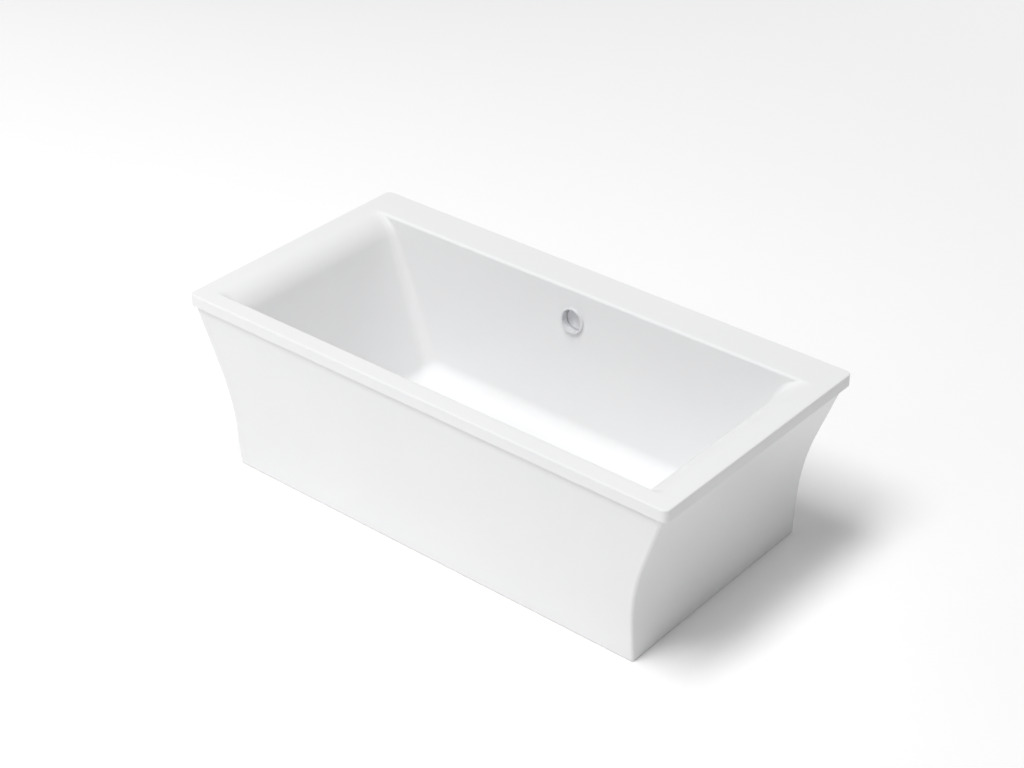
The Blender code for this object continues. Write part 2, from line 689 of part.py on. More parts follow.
def make_waste(finishes):
    pipe = finishes["pipe"]
    drain = Matrix.Translation(on_line(DRAIN_Y, 0.0))

    body = [
        (0.0, SHOE_LOW),
        (SHOE_R - 0.006, SHOE_LOW),
        (SHOE_R, SHOE_LOW + 0.006),
        (SHOE_R, SHOE_FLANGE),
        (SHOE_FLANGE_R, SHOE_FLANGE),
        (SHOE_FLANGE_R, SHOE_TOP),
        (0.0, SHOE_TOP),
    ]
    shoe = turned("drain_shoe", body, pipe, 24, drain)
    centre, arm_end = on_line(DRAIN_Y, SHOE_Z), on_line(SHOE_SIDE, SHOE_Z)
    arm = rod("shoe_arm", centre, arm_end, SOCKET_R, 24)
    drilled = rod("shoe_arm_cutter", centre, arm_end + CUTTER * Y_AXIS, SOCKET_BORE, 24)
    floor, past_top = on_line(DRAIN_Y, SHOE_LOW + ELBOW_WALL), on_line(DRAIN_Y, SHOE_TOP + CUTTER)
    room = rod("shoe_room_cutter", floor, past_top, SHOE_BORE, 24)
    join(shoe, arm)
    cut(shoe, room, drilled)

    step = 0.003
    run = [
        (0.0, OUTLET_Z),
        (SOCKET_R, OUTLET_Z),
        (SOCKET_R, SHOE_Z - TEE_HUB_HALF),
        (TEE_HUB_R, SHOE_Z - TEE_HUB_HALF + step),
        (TEE_HUB_R, SHOE_Z + TEE_HUB_HALF - step),
        (SOCKET_R, SHOE_Z + TEE_HUB_HALF),
        (SOCKET_R, TEE_TOP),
        (0.0, TEE_TOP),
    ]
    half_facet = Matrix.Rotation(math.pi / 24, 4, "Z")
    tee = turned("waste_tee", run, pipe, 24, Matrix.Translation(on_line(PIPE_Y, 0.0)) @ half_facet)
    centre, mouth = on_line(PIPE_Y, SHOE_Z), on_line(TEE_SIDE, SHOE_Z)
    branch = rod("tee_branch", mouth, centre, SOCKET_R, 24)
    low, high = on_line(PIPE_Y, OUTLET_Z - CUTTER), on_line(PIPE_Y, TEE_TOP + CUTTER)
    through = rod("tee_through_cutter", low, high, SOCKET_BORE, 24)
    socket_end = mouth + (PIPE_INSERT + 0.002) * Y_AXIS
    socket = rod("tee_branch_socket_cutter", mouth - CUTTER * Y_AXIS, socket_end, SOCKET_BORE, 24)
    passage_end = centre - 0.004 * Y_AXIS
    passage = rod("tee_branch_cutter", mouth, passage_end, PIPE_BORE - 0.001, 24)
    join(tee, branch)
    cut(tee, through, socket, passage)

    shoe_mouth, tee_mouth = on_line(SHOE_SIDE, SHOE_Z), on_line(TEE_SIDE, SHOE_Z)
    tee_top, elbow_mouth = on_line(PIPE_Y, TEE_TOP), on_line(PIPE_Y, ELBOW_BOTTOM)
    along, up = PIPE_INSERT * Y_AXIS, PIPE_INSERT * Z_AXIS
    make_pipe("shoe_pipe", shoe_mouth - along, tee_mouth + along, pipe)
    make_pipe("overflow_pipe", tee_top - up, elbow_mouth + up, pipe)
    make_slip_nut("slip_nut_shoe", shoe_mouth, Y_AXIS, finishes["plastic"])
    make_slip_nut("slip_nut_tee_side", tee_mouth, -Y_AXIS, finishes["plastic"])
    make_slip_nut("slip_nut_tee_top", tee_top, Z_AXIS, finishes["plastic"])
    make_slip_nut("slip_nut_elbow", elbow_mouth, -Z_AXIS, finishes["plastic"])

    outer, inner = SHOE_FLANGE_R - 0.001, DRAIN_HOLE + 0.001
    low, high = SHOE_TOP + GAP, FLOOR_Z - SHELL - GAP
    gasket = [(outer, low), (outer, high), (inner, high), (inner, low)]
    turned("drain_gasket", gasket, finishes["rubber"], 24, drain)


# ---------------------------------------------------------------- drain and its stopper
def make_drain(finishes):
    drain = Matrix.Translation(on_line(DRAIN_Y, 0.0))
    seat = FLOOR_Z - RECESS_DEPTH + GAP
    profile = [
        (FLANGE_R, seat),
        (FLANGE_R, seat + 0.0017),
        (FLANGE_R - 0.0017, seat + 0.0030),
        (FLANGE_R - 0.0085, seat + 0.0027),
        (FLANGE_THROAT + 0.0040, seat - 0.0003),
        (FLANGE_THROAT, seat - 0.0050),
        (FLANGE_THROAT, SLEEVE_BOTTOM),
        (SLEEVE_R, SLEEVE_BOTTOM),
        (SLEEVE_R, seat),
    ]
    flange = turned("drain_flange", profile, finishes["chrome"], ROUND, drain)
    reach = FLANGE_THROAT + 0.001
    arms = []
    for name, dx, dy in (("x", reach, SPIDER_HALF), ("y", SPIDER_HALF, reach)):
        low, high = (WASTE_X - dx, DRAIN_Y - dy, SPIDER_LOW), (WASTE_X + dx, DRAIN_Y + dy, SPIDER_HIGH)
        arms.append(helper(block(f"drain_spider_{name}", low, high, finishes["chrome"])))
    low, high = on_line(DRAIN_Y, BOSS_LOW), on_line(DRAIN_Y, BOSS_TOP)
    boss = rod("drain_boss", low, high, BOSS_R, 12)
    past = CUTTER * Z_AXIS
    hole = rod("drain_boss_cutter", low - past, high + past, POST_R + GAP, 12)
    join(flange, *arms, boss)
    cut(flange, hole)
    make_stopper(finishes, drain)


def make_stopper(finishes, drain):
    """The fixed post, and the cap with its seal, which a touch of the toe lets up or down."""
    post = [
        (0.0, POST_BOTTOM),
        (POST_R, POST_BOTTOM),
        (POST_R, BOSS_TOP + GAP),
        (BOSS_R, BOSS_TOP + GAP),
        (BOSS_R, POST_COLLAR),
        (POST_NECK, POST_COLLAR),
        (POST_NECK, CAP_UNDER - CAP_CLEAR),
        (0.0, CAP_UNDER - CAP_CLEAR),
    ]
    turned("stopper_post", post, finishes["brass"], PLAIN, drain)

    cap = [
        (0.0, CAP_TOP),
        (CAP_R * 0.55, CAP_TOP - 0.0004),
        (CAP_R * 0.88, CAP_TOP - 0.0014),
        (CAP_R, CAP_TOP - 0.0030),
        (CAP_R, CAP_UNDER + 0.0006),
        (CAP_R - 0.0008, CAP_UNDER),
        (CAP_SLEEVE_OUT, CAP_UNDER),
        (CAP_SLEEVE_OUT, CAP_SLEEVE_LOW),
        (CAP_SLEEVE_IN, CAP_SLEEVE_LOW),
        (CAP_SLEEVE_IN, CAP_UNDER),
        (0.0, CAP_UNDER),
    ]
    turned("stopper_cap", cap, finishes["chrome"], ROUND, drain)

    seal = [
        (SEAL_OUTER, SEAL_LOW + 0.0008),
        (SEAL_OUTER, CAP_UNDER - GAP),
        (SEAL_INNER, CAP_UNDER - GAP),
        (SEAL_INNER, SEAL_LOW),
        (SEAL_OUTER - 0.0015, SEAL_LOW),
    ]
    turned("stopper_seal", seal, finishes["rubber"], 24, drain)
    make_spring(finishes["steel"])


def make_spring(finish):
    """The toe-touch cartridge's coil, round the post and inside the cap's sleeve."""
    per_turn, sides = 12, 6
    low = POST_COLLAR + SPRING_WIRE + GAP
    rise = CAP_UNDER - SPRING_WIRE - GAP - low
    count = SPRING_TURNS * per_turn
    loops = []
    for k in range(count + 1):
        a = math.tau * k / per_turn
        outwards = Vector((math.cos(a), math.sin(a), 0.0))
        middle = on_line(DRAIN_Y, low + rise * k / count) + SPRING_R * outwards
        ring = []
        for s in range(sides):
            b = math.tau * s / sides
            ring.append(middle + SPRING_WIRE * (math.cos(b) * outwards + math.sin(b) * Z_AXIS))
        loops.append(ring)
    loft(loops, finish, "stopper_spring", ring=False)


# ---------------------------------------------------------------- the bath
def main():
    for old in list(bpy.data.objects):
        bpy.data.objects.remove(old, do_unlink=True)
    finishes = make_materials()

    make_basin(finishes["acrylic"])
    make_shroud(finishes["acrylic"])
    make_rim_supports(finishes["board"], finishes["sealant"])

    make_board(finishes["board"])
    for side, x in BEARER_X.items():
        make_bearer(side, x, finishes["steel"])
        for end, sign in (("front", -1), ("rear", 1)):
            make_screw(side, end, x, SCREW_Y[end], finishes["steel"])
            make_foot(side, end, x, sign * FOOT_Y, finishes)
            if side != "centre":
                make_bracket(side, end, x, sign, finishes["steel"])

    make_overflow(finishes)
    make_waste(finishes)
    make_drain(finishes)


main()
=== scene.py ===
"""Looks of a freestanding rectangular soaking bath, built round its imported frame.

Metres, +Z up, in the frame of the CAD. Each piece stands for one CAD node and rides on that node's body.
"""

import json
import math

import bmesh
import bpy
from mathutils import Matrix, Vector, noise


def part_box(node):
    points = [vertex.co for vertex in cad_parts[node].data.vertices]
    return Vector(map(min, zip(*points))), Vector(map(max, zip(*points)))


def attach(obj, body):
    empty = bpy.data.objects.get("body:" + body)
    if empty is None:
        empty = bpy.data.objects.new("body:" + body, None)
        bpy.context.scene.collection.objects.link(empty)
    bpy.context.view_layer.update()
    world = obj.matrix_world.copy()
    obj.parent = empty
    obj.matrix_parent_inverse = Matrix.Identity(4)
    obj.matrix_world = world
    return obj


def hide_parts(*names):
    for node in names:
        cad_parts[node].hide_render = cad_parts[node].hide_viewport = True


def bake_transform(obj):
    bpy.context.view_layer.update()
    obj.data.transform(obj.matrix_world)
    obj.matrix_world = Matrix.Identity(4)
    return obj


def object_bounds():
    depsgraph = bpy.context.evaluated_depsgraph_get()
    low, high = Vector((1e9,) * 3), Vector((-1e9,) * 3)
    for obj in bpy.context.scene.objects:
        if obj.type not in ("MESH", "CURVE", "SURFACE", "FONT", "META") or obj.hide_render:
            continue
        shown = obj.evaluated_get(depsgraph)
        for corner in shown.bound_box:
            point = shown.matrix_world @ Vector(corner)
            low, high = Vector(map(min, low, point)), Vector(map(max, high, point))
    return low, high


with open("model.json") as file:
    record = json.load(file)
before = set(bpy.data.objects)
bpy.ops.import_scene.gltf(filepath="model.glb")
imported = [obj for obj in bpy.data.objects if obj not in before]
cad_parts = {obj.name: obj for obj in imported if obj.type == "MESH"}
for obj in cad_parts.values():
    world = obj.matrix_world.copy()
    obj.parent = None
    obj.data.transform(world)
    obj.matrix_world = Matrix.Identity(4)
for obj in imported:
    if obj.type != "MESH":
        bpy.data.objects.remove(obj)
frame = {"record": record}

cad_low, cad_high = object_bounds()

BODY_OF = {
    node: body
    for body, nodes in frame["record"]["behaviour"]["bodies"].items()
    for node in nodes
}
SIDES = ("left", "centre", "right")
ENDS = ("front", "rear")

# ---------------------------------------------------------------- sizes
LENGTH, WIDTH, HEIGHT = cad_high - cad_low
GAP = 0.0003  # kept between pieces that touch

FLOOR_Z = 0.105  # inside floor of the basin
SHELL = 0.007
OPENING_X = 0.870
OPENING_FRONT, OPENING_BACK = -0.402, 0.332
OPENING_CORNER, WALL_CORNER, CORNER_BLEND = 0.026, 0.048, 0.450
END_ROLL, SIDE_ROLL = 0.110, 0.010
END_SLOPE, SIDE_SLOPE = math.radians(24.0), math.radians(4.4)
FLOOR_FILLET = 0.050
RIM_CORNER, RIM_EDGE = 0.020, 0.004
LIP_HEIGHT, LIP_THICK, LIP_EDGE = 0.040, 0.005, 0.002
BOWL_Y = (OPENING_FRONT + OPENING_BACK) / 2
BOWL_HALF_Y = (OPENING_BACK - OPENING_FRONT) / 2
DRAIN_HOLE, DRAIN_RECESS, RECESS_DEPTH = 0.0255, 0.046, 0.004
OVERFLOW_Z, OVERFLOW_HOLE = 0.4945, 0.0385

SHROUD_BOTTOM, SHROUD_TOP, SHROUD_BAND = 0.002, 0.5895, 0.555
SHROUD_BASE_X, SHROUD_BASE_Y = 0.7896, 0.4096
SHROUD_SIDE_RISE, SHROUD_END_RISE = 0.0716, 0.3482
SHROUD_STRAIGHT, SHROUD_BEND_TOP = 0.127, 0.364
SHROUD_THICK, SHROUD_CORNER, SHROUD_FLANGE = 0.005, 0.009, 0.025

# Frame and feet
BOARD_DRAIN_HOLE = 0.042
BEARER_WALL, BEARER_CORNER = 0.0020, 0.0030
SCREW_R, SCREW_HEAD_R, SCREW_HEAD_H, SCREW_HEX = 0.0020, 0.0045, 0.0030, 0.0031
SCREW_PITCH, SCREW_DEPTH, SCREW_POINT = 0.0014, 0.0005, 0.0040
STUD_R, STUD_PITCH, STUD_DEPTH = 0.0060, 0.0025, 0.0009
PAD_BOSS_R = 0.0110
NUT_FLATS, NUT_CHAMFER = 0.0190, 0.0011
BRACKET_THICK, BRACKET_HOLE, BRACKET_INSET = 0.0025, 0.0026, 0.0120

# Overflow and waste pipes
RING_R, RING_PROUD, RING_BORE, RING_TUBE, RING_REACH = 0.0435, 0.0100, 0.0360, 0.0380, 0.0240
DISC_R, DISC_FRONT, DISC_THICK, DISC_STEM = 0.0348, 0.0175, 0.0025, 0.0050
GASKET_THICK, SLIDE = 0.0030, 0.0005
ELBOW_R, ELBOW_BORE, ELBOW_DEEP, ELBOW_WALL = 0.0445, 0.0405, 0.0285, 0.0030
BOSS_R, BOSS_DEEP, DISC_STUD_R, DISC_STUD_DEEP = 0.0070, 0.0055, 0.0030, 0.0040
SPOUT_TOP = OVERFLOW_Z - 0.012
PIPE_R, PIPE_BORE, SOCKET_R, SOCKET_BORE = 0.0190, 0.0175, 0.0220, 0.0194
SLIP_NUT_R, SLIP_NUT_SKIRT = 0.0265, 0.0140
SHOE_TOP, SHOE_FLANGE, SHOE_FLANGE_R = 0.0940, 0.0905, 0.0370
SHOE_R, SHOE_BORE, SHOE_LOW = 0.0290, 0.0245, 0.0180
TEE_HUB_R, TEE_HUB_HALF, TEE_INSERT = 0.0250, 0.0245, 0.0170

# Drain flange, and the stopper that stands on its cross-bars
FLANGE_R, FLANGE_THROAT, SLEEVE_R, SLEEVE_BOTTOM = 0.0385, 0.0205, 0.0235, 0.0700
SPIDER_LOW, SPIDER_HIGH, SPIDER_HALF = 0.0780, 0.0820, 0.0020
HUB_R, HUB_LOW, HUB_TOP = 0.0060, 0.0760, 0.0845
POST_R, POST_NECK, POST_BOTTOM, POST_COLLAR = 0.0030, 0.0035, 0.0740, 0.0878
CAP_R, CAP_UNDER, CAP_TOP, CAP_CLEAR = 0.0320, 0.1075, 0.1125, 0.0080
CAP_SLEEVE_OUT, CAP_SLEEVE_IN, CAP_SLEEVE_LOW = 0.0085, 0.0068, 0.0900
SEAL_OUTER, SEAL_INNER, SEAL_LOW = 0.0300, 0.0250, 0.1043
SPRING_TURNS, SPRING_R, SPRING_WIRE = 5, 0.0052, 0.0006

# Camera, with its angles in degrees, and the studio floor
CAMERA_PLACE, CAMERA_AZIMUTH, CAMERA_ELEVATION = (3.511, -4.2114, 3.8307), 39.7696, 31.9206
CAMERA_LENS, CAMERA_SENSOR = 74.57, 36.0
STUDIO_HALF = 30.0

CUTTER = 0.010  # how far a cutter runs past what it cuts
LONG_RUNS, SHORT_RUNS = 36, 18  # how finely the long and short sides are divided
CORNER_STEPS = 12
FINE = 96  # segments round a turned piece that shows
PLAIN = 48  # and round one under the bath

Y_AXIS, Z_AXIS = Vector((0, 1, 0)), Vector((0, 0, 1))
drain_low, drain_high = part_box("drain_flange")
WASTE_X = (drain_low.x + drain_high.x) / 2
DRAIN = Vector((WASTE_X, BOWL_Y, 0.0))


# ---------------------------------------------------------------- materials
class Finish:
    """A Principled material whose colour, roughness and bump come from procedural patterns."""

    def __init__(self, name, **constants):
        self.material = bpy.data.materials.new(name)
        self.material.use_nodes = True
        self.tree = self.material.node_tree
        self.shader = self.tree.nodes["Principled BSDF"]
        for socket, value in constants.items():
            self.shader.inputs[socket.replace("_", " ")].default_value = value
        self.place = self.node("ShaderNodeTexCoord").outputs["Object"]

    def node(self, kind, links=(), **settings):
        """Adds a node. A setting in lower case is an attribute, and any other is an input socket."""
        made = self.tree.nodes.new(kind)
        for key, value in settings.items():
            if key[0].islower():
                setattr(made, key, value)
            else:
                made.inputs[key.replace("_", " ")].default_value = value
        for socket, source in dict(links).items():
            self.tree.links.new(source, made.inputs[socket])
        return made

    def stretched(self, scale):
        """Object coordinates scaled by a vector, so that a pattern is drawn out along an axis."""
        return self.node("ShaderNodeMapping", {"Vector": self.place}, Scale=scale).outputs["Vector"]

    def noise(self, scale, detail=3.0, vector=None):
        source = self.place if vector is None else vector
        made = self.node("ShaderNodeTexNoise", {"Vector": source}, Scale=scale, Detail=detail)
        return made.outputs["Fac"]

    def cells(self, scale, feature="F1", output="Distance", vector=None):
        source = self.place if vector is None else vector
        made = self.node("ShaderNodeTexVoronoi", {"Vector": source}, feature=feature, Scale=scale)
        return made.outputs[output]

    def span(self, source, low, high, start=0.3, end=0.7):
        """Maps a pattern's values from start..end to low..high."""
        made = self.node(
            "ShaderNodeMapRange", {"Value": source}, From_Min=start, From_Max=end, To_Min=low, To_Max=high
        )
        return made.outputs["Result"]

    def mix(self, share, first, second):
        """A colour between two, each a colour or another node's output."""
        made = self.node("ShaderNodeMix", data_type="RGBA")
        self.tree.links.new(share, made.inputs[0])
        for socket, source in ((6, first), (7, second)):
            if isinstance(source, bpy.types.NodeSocket):
                self.tree.links.new(source, made.inputs[socket])
            else:
                made.inputs[socket].default_value = (*source, 1.0)
        return made.outputs[2]

    def between(self, source, first, second, start=0.3, end=0.7):
        """A colour between two, by a pattern."""
        return self.mix(self.span(source, 0.0, 1.0, start, end), first, second)

    def overlay(self, source, colour, over, start, end):
        """Lays a colour over another one where a pattern is high."""
        return self.mix(self.span(source, 0.0, 1.0, start, end), over, colour)

    def set(self, socket, source):
        self.tree.links.new(source, self.shader.inputs[socket])

    def bump(self, source, distance, strength=0.5):
        """Adds relief from a pattern on top of any that is there."""
        made = self.node("ShaderNodeBump", {"Height": source}, Strength=strength, Distance=distance)
        below = self.shader.inputs["Normal"].links
        if below:
            self.tree.links.new(below[0].from_socket, made.inputs["Normal"])
        self.set("Normal", made.outputs["Normal"])


def acrylic():
    """White sheet with a soft sheen: nearly even, with a faint forming ripple and polishing haze."""
    f = Finish("acrylic_gloss", IOR=1.46, Coat_Weight=0.06, Coat_Roughness=0.08)
    f.set("Base Color", f.between(f.noise(2.2, 2.0), (0.857, 0.860, 0.866), (0.872, 0.874, 0.878)))
    f.set("Roughness", f.span(f.noise(9.0, 4.0), 0.29, 0.35))
    f.bump(f.noise(5.0, 1.0), 0.0012, 0.10)
    f.bump(f.noise(420.0, 2.0), 0.00003, 0.10)
    return f.material


def laminate():
    """Chopped glass strands sprayed in resin on the hidden side of the acrylic."""
    f = Finish("glass_fibre_laminate", IOR=1.55)
    strands = f.cells(70.0, "DISTANCE_TO_EDGE", vector=f.stretched((1.0, 0.35, 0.7)))
    crossed = f.cells(60.0, "DISTANCE_TO_EDGE", vector=f.stretched((0.3, 1.0, 0.8)))
    resin = f.between(f.noise(6.0, 4.0), (0.50, 0.47, 0.36), (0.66, 0.63, 0.52))
    strand = f.overlay(strands, (0.74, 0.73, 0.66), resin, 0.10, 0.0)
    f.set("Base Color", f.overlay(crossed, (0.80, 0.79, 0.73), strand, 0.07, 0.0))
    f.set("Roughness", f.span(f.noise(30.0), 0.32, 0.62))
    f.bump(strands, 0.0008, 0.6)
    f.bump(crossed, 0.0006, 0.5)
    f.bump(f.noise(45.0, 5.0), 0.0015, 0.5)
    return f.material


def chrome():
    """Polished plate, with faint haze where it has been wiped."""
    f = Finish("chrome_plate", Metallic=1.0, Coat_Weight=0.1)
    f.set("Base Color", f.between(f.noise(60.0, 2.0), (0.790, 0.800, 0.828), (0.830, 0.838, 0.860)))
    f.set("Roughness", f.span(f.noise(160.0, 5.0), 0.12, 0.19))
    f.bump(f.noise(90.0, 1.0), 0.00005, 0.12)
    return f.material


def satin_chrome():
    """The softer plate on the overflow, cool and cloudy rather than mirror bright."""
    f = Finish("satin_chrome_plate", Metallic=0.40)
    f.set("Base Color", f.between(f.noise(70.0, 2.0), (0.850, 0.853, 0.872), (0.890, 0.892, 0.905)))
    f.set("Roughness", f.span(f.noise(180.0, 5.0), 0.28, 0.36))
    f.bump(f.noise(120.0, 1.0), 0.00004, 0.12)
    return f.material


def rubber():
    f = Finish("black_rubber", Specular_IOR_Level=0.35)
    f.set("Base Color", f.between(f.noise(120.0, 4.0), (0.022, 0.022, 0.023), (0.055, 0.054, 0.052)))
    f.set("Roughness", f.span(f.noise(300.0), 0.55, 0.80))
    f.bump(f.noise(900.0, 2.0), 0.0001, 0.4)
    return f.material


def pvc():
    """Extruded and moulded off-white pipe, with faint draw lines and handling marks."""
    f = Finish("white_pvc", IOR=1.53)
    clean = f.between(f.noise(25.0, 3.0), (0.72, 0.72, 0.69), (0.78, 0.78, 0.755))
    f.set("Base Color", f.overlay(f.noise(70.0, 6.0), (0.60, 0.59, 0.55), clean, 0.62, 0.80))
    f.set("Roughness", f.span(f.noise(140.0, 4.0), 0.30, 0.48))
    f.bump(f.noise(260.0, 2.0, f.stretched((1.0, 1.0, 0.03))), 0.0001, 0.35)
    return f.material


def nylon():
    """Black moulded nylon with a fine spark-eroded grain."""
    f = Finish("black_nylon")
    f.set("Base Color", f.between(f.noise(90.0, 3.0), (0.018, 0.018, 0.020), (0.040, 0.040, 0.042)))
    f.set("Roughness", f.span(f.noise(500.0), 0.42, 0.60))
    f.bump(f.cells(1300.0), 0.0001, 0.35)
    return f.material


def timber(name, along, pale, dark):
    """Planed softwood with its grain drawn out along one axis."""
    scale = Vector((1.0, 1.0, 1.0))
    scale[along] = 0.05
    f = Finish(name)
    grain = f.stretched(scale)
    wood = f.between(f.noise(60.0, 5.0, grain), dark, pale, 0.35, 0.62)
    late = [0.55 * c for c in dark]
    f.set("Base Color", f.overlay(f.noise(160.0, 3.0, grain), late, wood, 0.60, 0.74))
    f.set("Roughness", f.span(f.noise(200.0, 3.0, grain), 0.55, 0.78))
    f.bump(f.noise(220.0, 4.0, grain), 0.0003, 0.45)
    return f.material


def plywood():
    """Birch ply: figured faces, and a stack of thin plies on every edge."""
    f = Finish("birch_plywood")
    grain = f.stretched((0.06, 1.0, 1.0))
    face = f.between(f.noise(45.0, 5.0, grain), (0.46, 0.31, 0.17), (0.62, 0.46, 0.29), 0.35, 0.65)
    stack = {"wave_type": "BANDS", "bands_direction": "Z", "Scale": 110.0, "Distortion": 0.4}
    plies = f.node("ShaderNodeTexWave", {"Vector": f.place}, **stack).outputs["Fac"]
    edge = f.between(plies, (0.24, 0.15, 0.08), (0.60, 0.44, 0.28), 0.35, 0.60)
    facing = f.node("ShaderNodeNewGeometry").outputs["Normal"]
    upward = f.node("ShaderNodeSeparateXYZ", {0: facing}).outputs["Z"]
    flat = f.node("ShaderNodeMath", {0: upward}, operation="ABSOLUTE").outputs[0]
    is_face = f.span(flat, 0.0, 1.0, 0.6, 0.8)
    f.set("Base Color", f.mix(is_face, edge, face))
    f.set("Roughness", f.span(f.noise(90.0), 0.48, 0.72))
    f.bump(f.noise(160.0, 4.0, grain), 0.0003, 0.4)
    return f.material


def galvanised():
    """Hot-dip zinc with its crystal spangle."""
    f = Finish("galvanised_steel", Metallic=1.0)
    spangle = f.node("ShaderNodeTexVoronoi", {"Vector": f.place}, Scale=85.0)
    tone = f.node("ShaderNodeSeparateColor", {0: spangle.outputs["Color"]}).outputs[0]
    f.set("Base Color", f.between(tone, (0.44, 0.46, 0.48), (0.66, 0.67, 0.68), 0.0, 1.0))
    f.set("Roughness", f.span(tone, 0.30, 0.50, 0.0, 1.0))
    f.bump(f.noise(120.0, 4.0), 0.0002, 0.3)
    return f.material


def zinc():
    """Bright zinc plating with a faint blue and straw passivation."""
    f = Finish("zinc_plate", Metallic=1.0)
    f.set("Base Color", f.between(f.noise(180.0, 3.0), (0.58, 0.61, 0.66), (0.72, 0.70, 0.62)))
    f.set("Roughness", f.span(f.noise(500.0, 3.0), 0.22, 0.38))
    f.bump(f.noise(1100.0, 2.0), 0.00005, 0.3)
    return f.material


def brass():
    """Turned brass with fine tool rings."""
    f = Finish("turned_brass", Metallic=1.0)
    rings = f.noise(2600.0, 1.0, f.stretched((0.02, 0.02, 1.0)))
    f.set("Base Color", f.between(rings, (0.60, 0.43, 0.17), (0.78, 0.60, 0.28)))
    f.set("Roughness", f.span(f.noise(400.0), 0.18, 0.34))
    f.bump(rings, 0.00003, 0.4)
    return f.material


def spring_steel():
    f = Finish("spring_steel", Metallic=1.0)
    f.set("Base Color", f.between(f.noise(700.0), (0.46, 0.46, 0.47), (0.60, 0.60, 0.61)))
    f.set("Roughness", f.span(f.noise(1500.0), 0.22, 0.36))
    return f.material


def sealant():
    f = Finish("white_sealant")
    f.set("Base Color", f.between(f.noise(60.0), (0.70, 0.70, 0.68), (0.78, 0.78, 0.765)))
    f.set("Roughness", f.span(f.noise(200.0), 0.45, 0.65))
    f.bump(f.noise(140.0, 3.0), 0.0004, 0.5)
    return f.material


ACRYLIC, LAMINATE, CHROME, SATIN = acrylic(), laminate(), chrome(), satin_chrome()
RUBBER, PVC, NYLON, SEALANT = rubber(), pvc(), nylon(), sealant()
GALVANISED, ZINC, BRASS, SPRING = galvanised(), zinc(), brass(), spring_steel()
PLYWOOD = plywood()
LONG_BATTEN = timber("pine_along_x", 0, (0.66, 0.49, 0.30), (0.50, 0.33, 0.18))
END_BATTEN = timber("pine_along_y", 1, (0.66, 0.49, 0.30), (0.50, 0.33, 0.18))


# ---------------------------------------------------------------- mesh helpers
def to_object(name, bm, finishes, sharp=math.radians(35)):
    bmesh.ops.recalc_face_normals(bm, faces=bm.faces)
    mesh = bpy.data.meshes.new(name)
    bm.to_mesh(mesh)
    bm.free()
    for finish in finishes:
        mesh.materials.append(finish)
    mesh.shade_smooth()
    mesh.set_sharp_from_angle(angle=sharp)
    made = bpy.data.objects.new(name, mesh)
    bpy.context.scene.collection.objects.link(made)
    return made


def stand_for(made, node):
    """The piece takes the place and body of a CAD node."""
    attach(made, BODY_OF[node])
    return dress(made, node)


def dress(made, node):
    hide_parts(node)
    even = made.modifiers.new("even_normals", "WEIGHTED_NORMAL")
    even.keep_sharp = True
    return made


def loft(name, loops, finishes, bands=None, ring=True):
    """Skins closed loops of equal length. bands gives the finish of each band between two loops."""
    bm = bmesh.new()
    rows = [[bm.verts.new(point) for point in loop] for loop in loops]
    pairs = list(zip(rows, rows[1:] + rows[:1])) if ring else list(zip(rows, rows[1:]))
    for band, (lower, upper) in enumerate(pairs):
        for i in range(len(lower)):
            j = (i + 1) % len(lower)
            face = bm.faces.new((lower[i], lower[j], upper[j], upper[i]))
            face.material_index = bands[band] if bands else 0
    if not ring:
        bm.faces.new(list(reversed(rows[0])))
        bm.faces.new(rows[-1])
    return to_object(name, bm, finishes)


def soften(profile, radius, steps=4):
    """Rounds the corners of a closed profile. Points on the axis stay as they are."""
    rounded = []
    count = len(profile)
    for i, point in enumerate(profile):
        corner = Vector(point)
        to_last = Vector(profile[i - 1]) - corner
        to_next = Vector(profile[(i + 1) % count]) - corner
        straight = abs(to_last.normalized().dot(to_next.normalized())) > 0.985
        if corner.x < 1e-9 or straight:
            rounded.append(tuple(corner))
            continue
        reach = min(radius, 0.45 * to_last.length, 0.45 * to_next.length)
        start, end = corner + reach * to_last.normalized(), corner + reach * to_next.normalized()
        for k in range(steps + 1):
            t = k / steps
            rounded.append(tuple((1 - t) ** 2 * start + 2 * t * (1 - t) * corner + t**2 * end))
    return rounded


def turned(name, profile, finish, place=Matrix.Identity(4), segments=PLAIN, shape=None):
    """Turns a closed profile of (radius, height) about Z. A shape may change each radius."""
    bm = bmesh.new()
    rings = []
    for radius, height in profile:
        if radius < 1e-9:
            rings.append([bm.verts.new((0.0, 0.0, height))])
            continue
        ring = []
        for k in range(segments):
            a = math.tau * k / segments
            r = shape(a, radius, height) if shape else radius
            ring.append(bm.verts.new((r * math.cos(a), r * math.sin(a), height)))
        rings.append(ring)
    for lower, upper in zip(rings, rings[1:] + rings[:1]):
        if len(lower) == 1 and len(upper) == 1:
            continue
        for i in range(segments):
            j = (i + 1) % segments
            if len(lower) == 1:
                bm.faces.new((lower[0], upper[j], upper[i]))
            elif len(upper) == 1:
                bm.faces.new((lower[i], lower[j], upper[0]))
            else:
                bm.faces.new((lower[i], lower[j], upper[j], upper[i]))
    made = to_object(name, bm, [finish])
    made.matrix_world = place
    return made


def rod(start, end, radius, finish, segments=PLAIN):
    """A plain solid cylinder that joins or cuts another piece."""
    start, end = Vector(start), Vector(end)
    turn = (end - start).to_track_quat("Z", "X").to_matrix().to_4x4()
    length = (end - start).length
    profile = [(0.0, 0.0), (radius, 0.0), (radius, length), (0.0, length)]
    return turned("rod", profile, finish, Matrix.Translation(start) @ turn, segments)


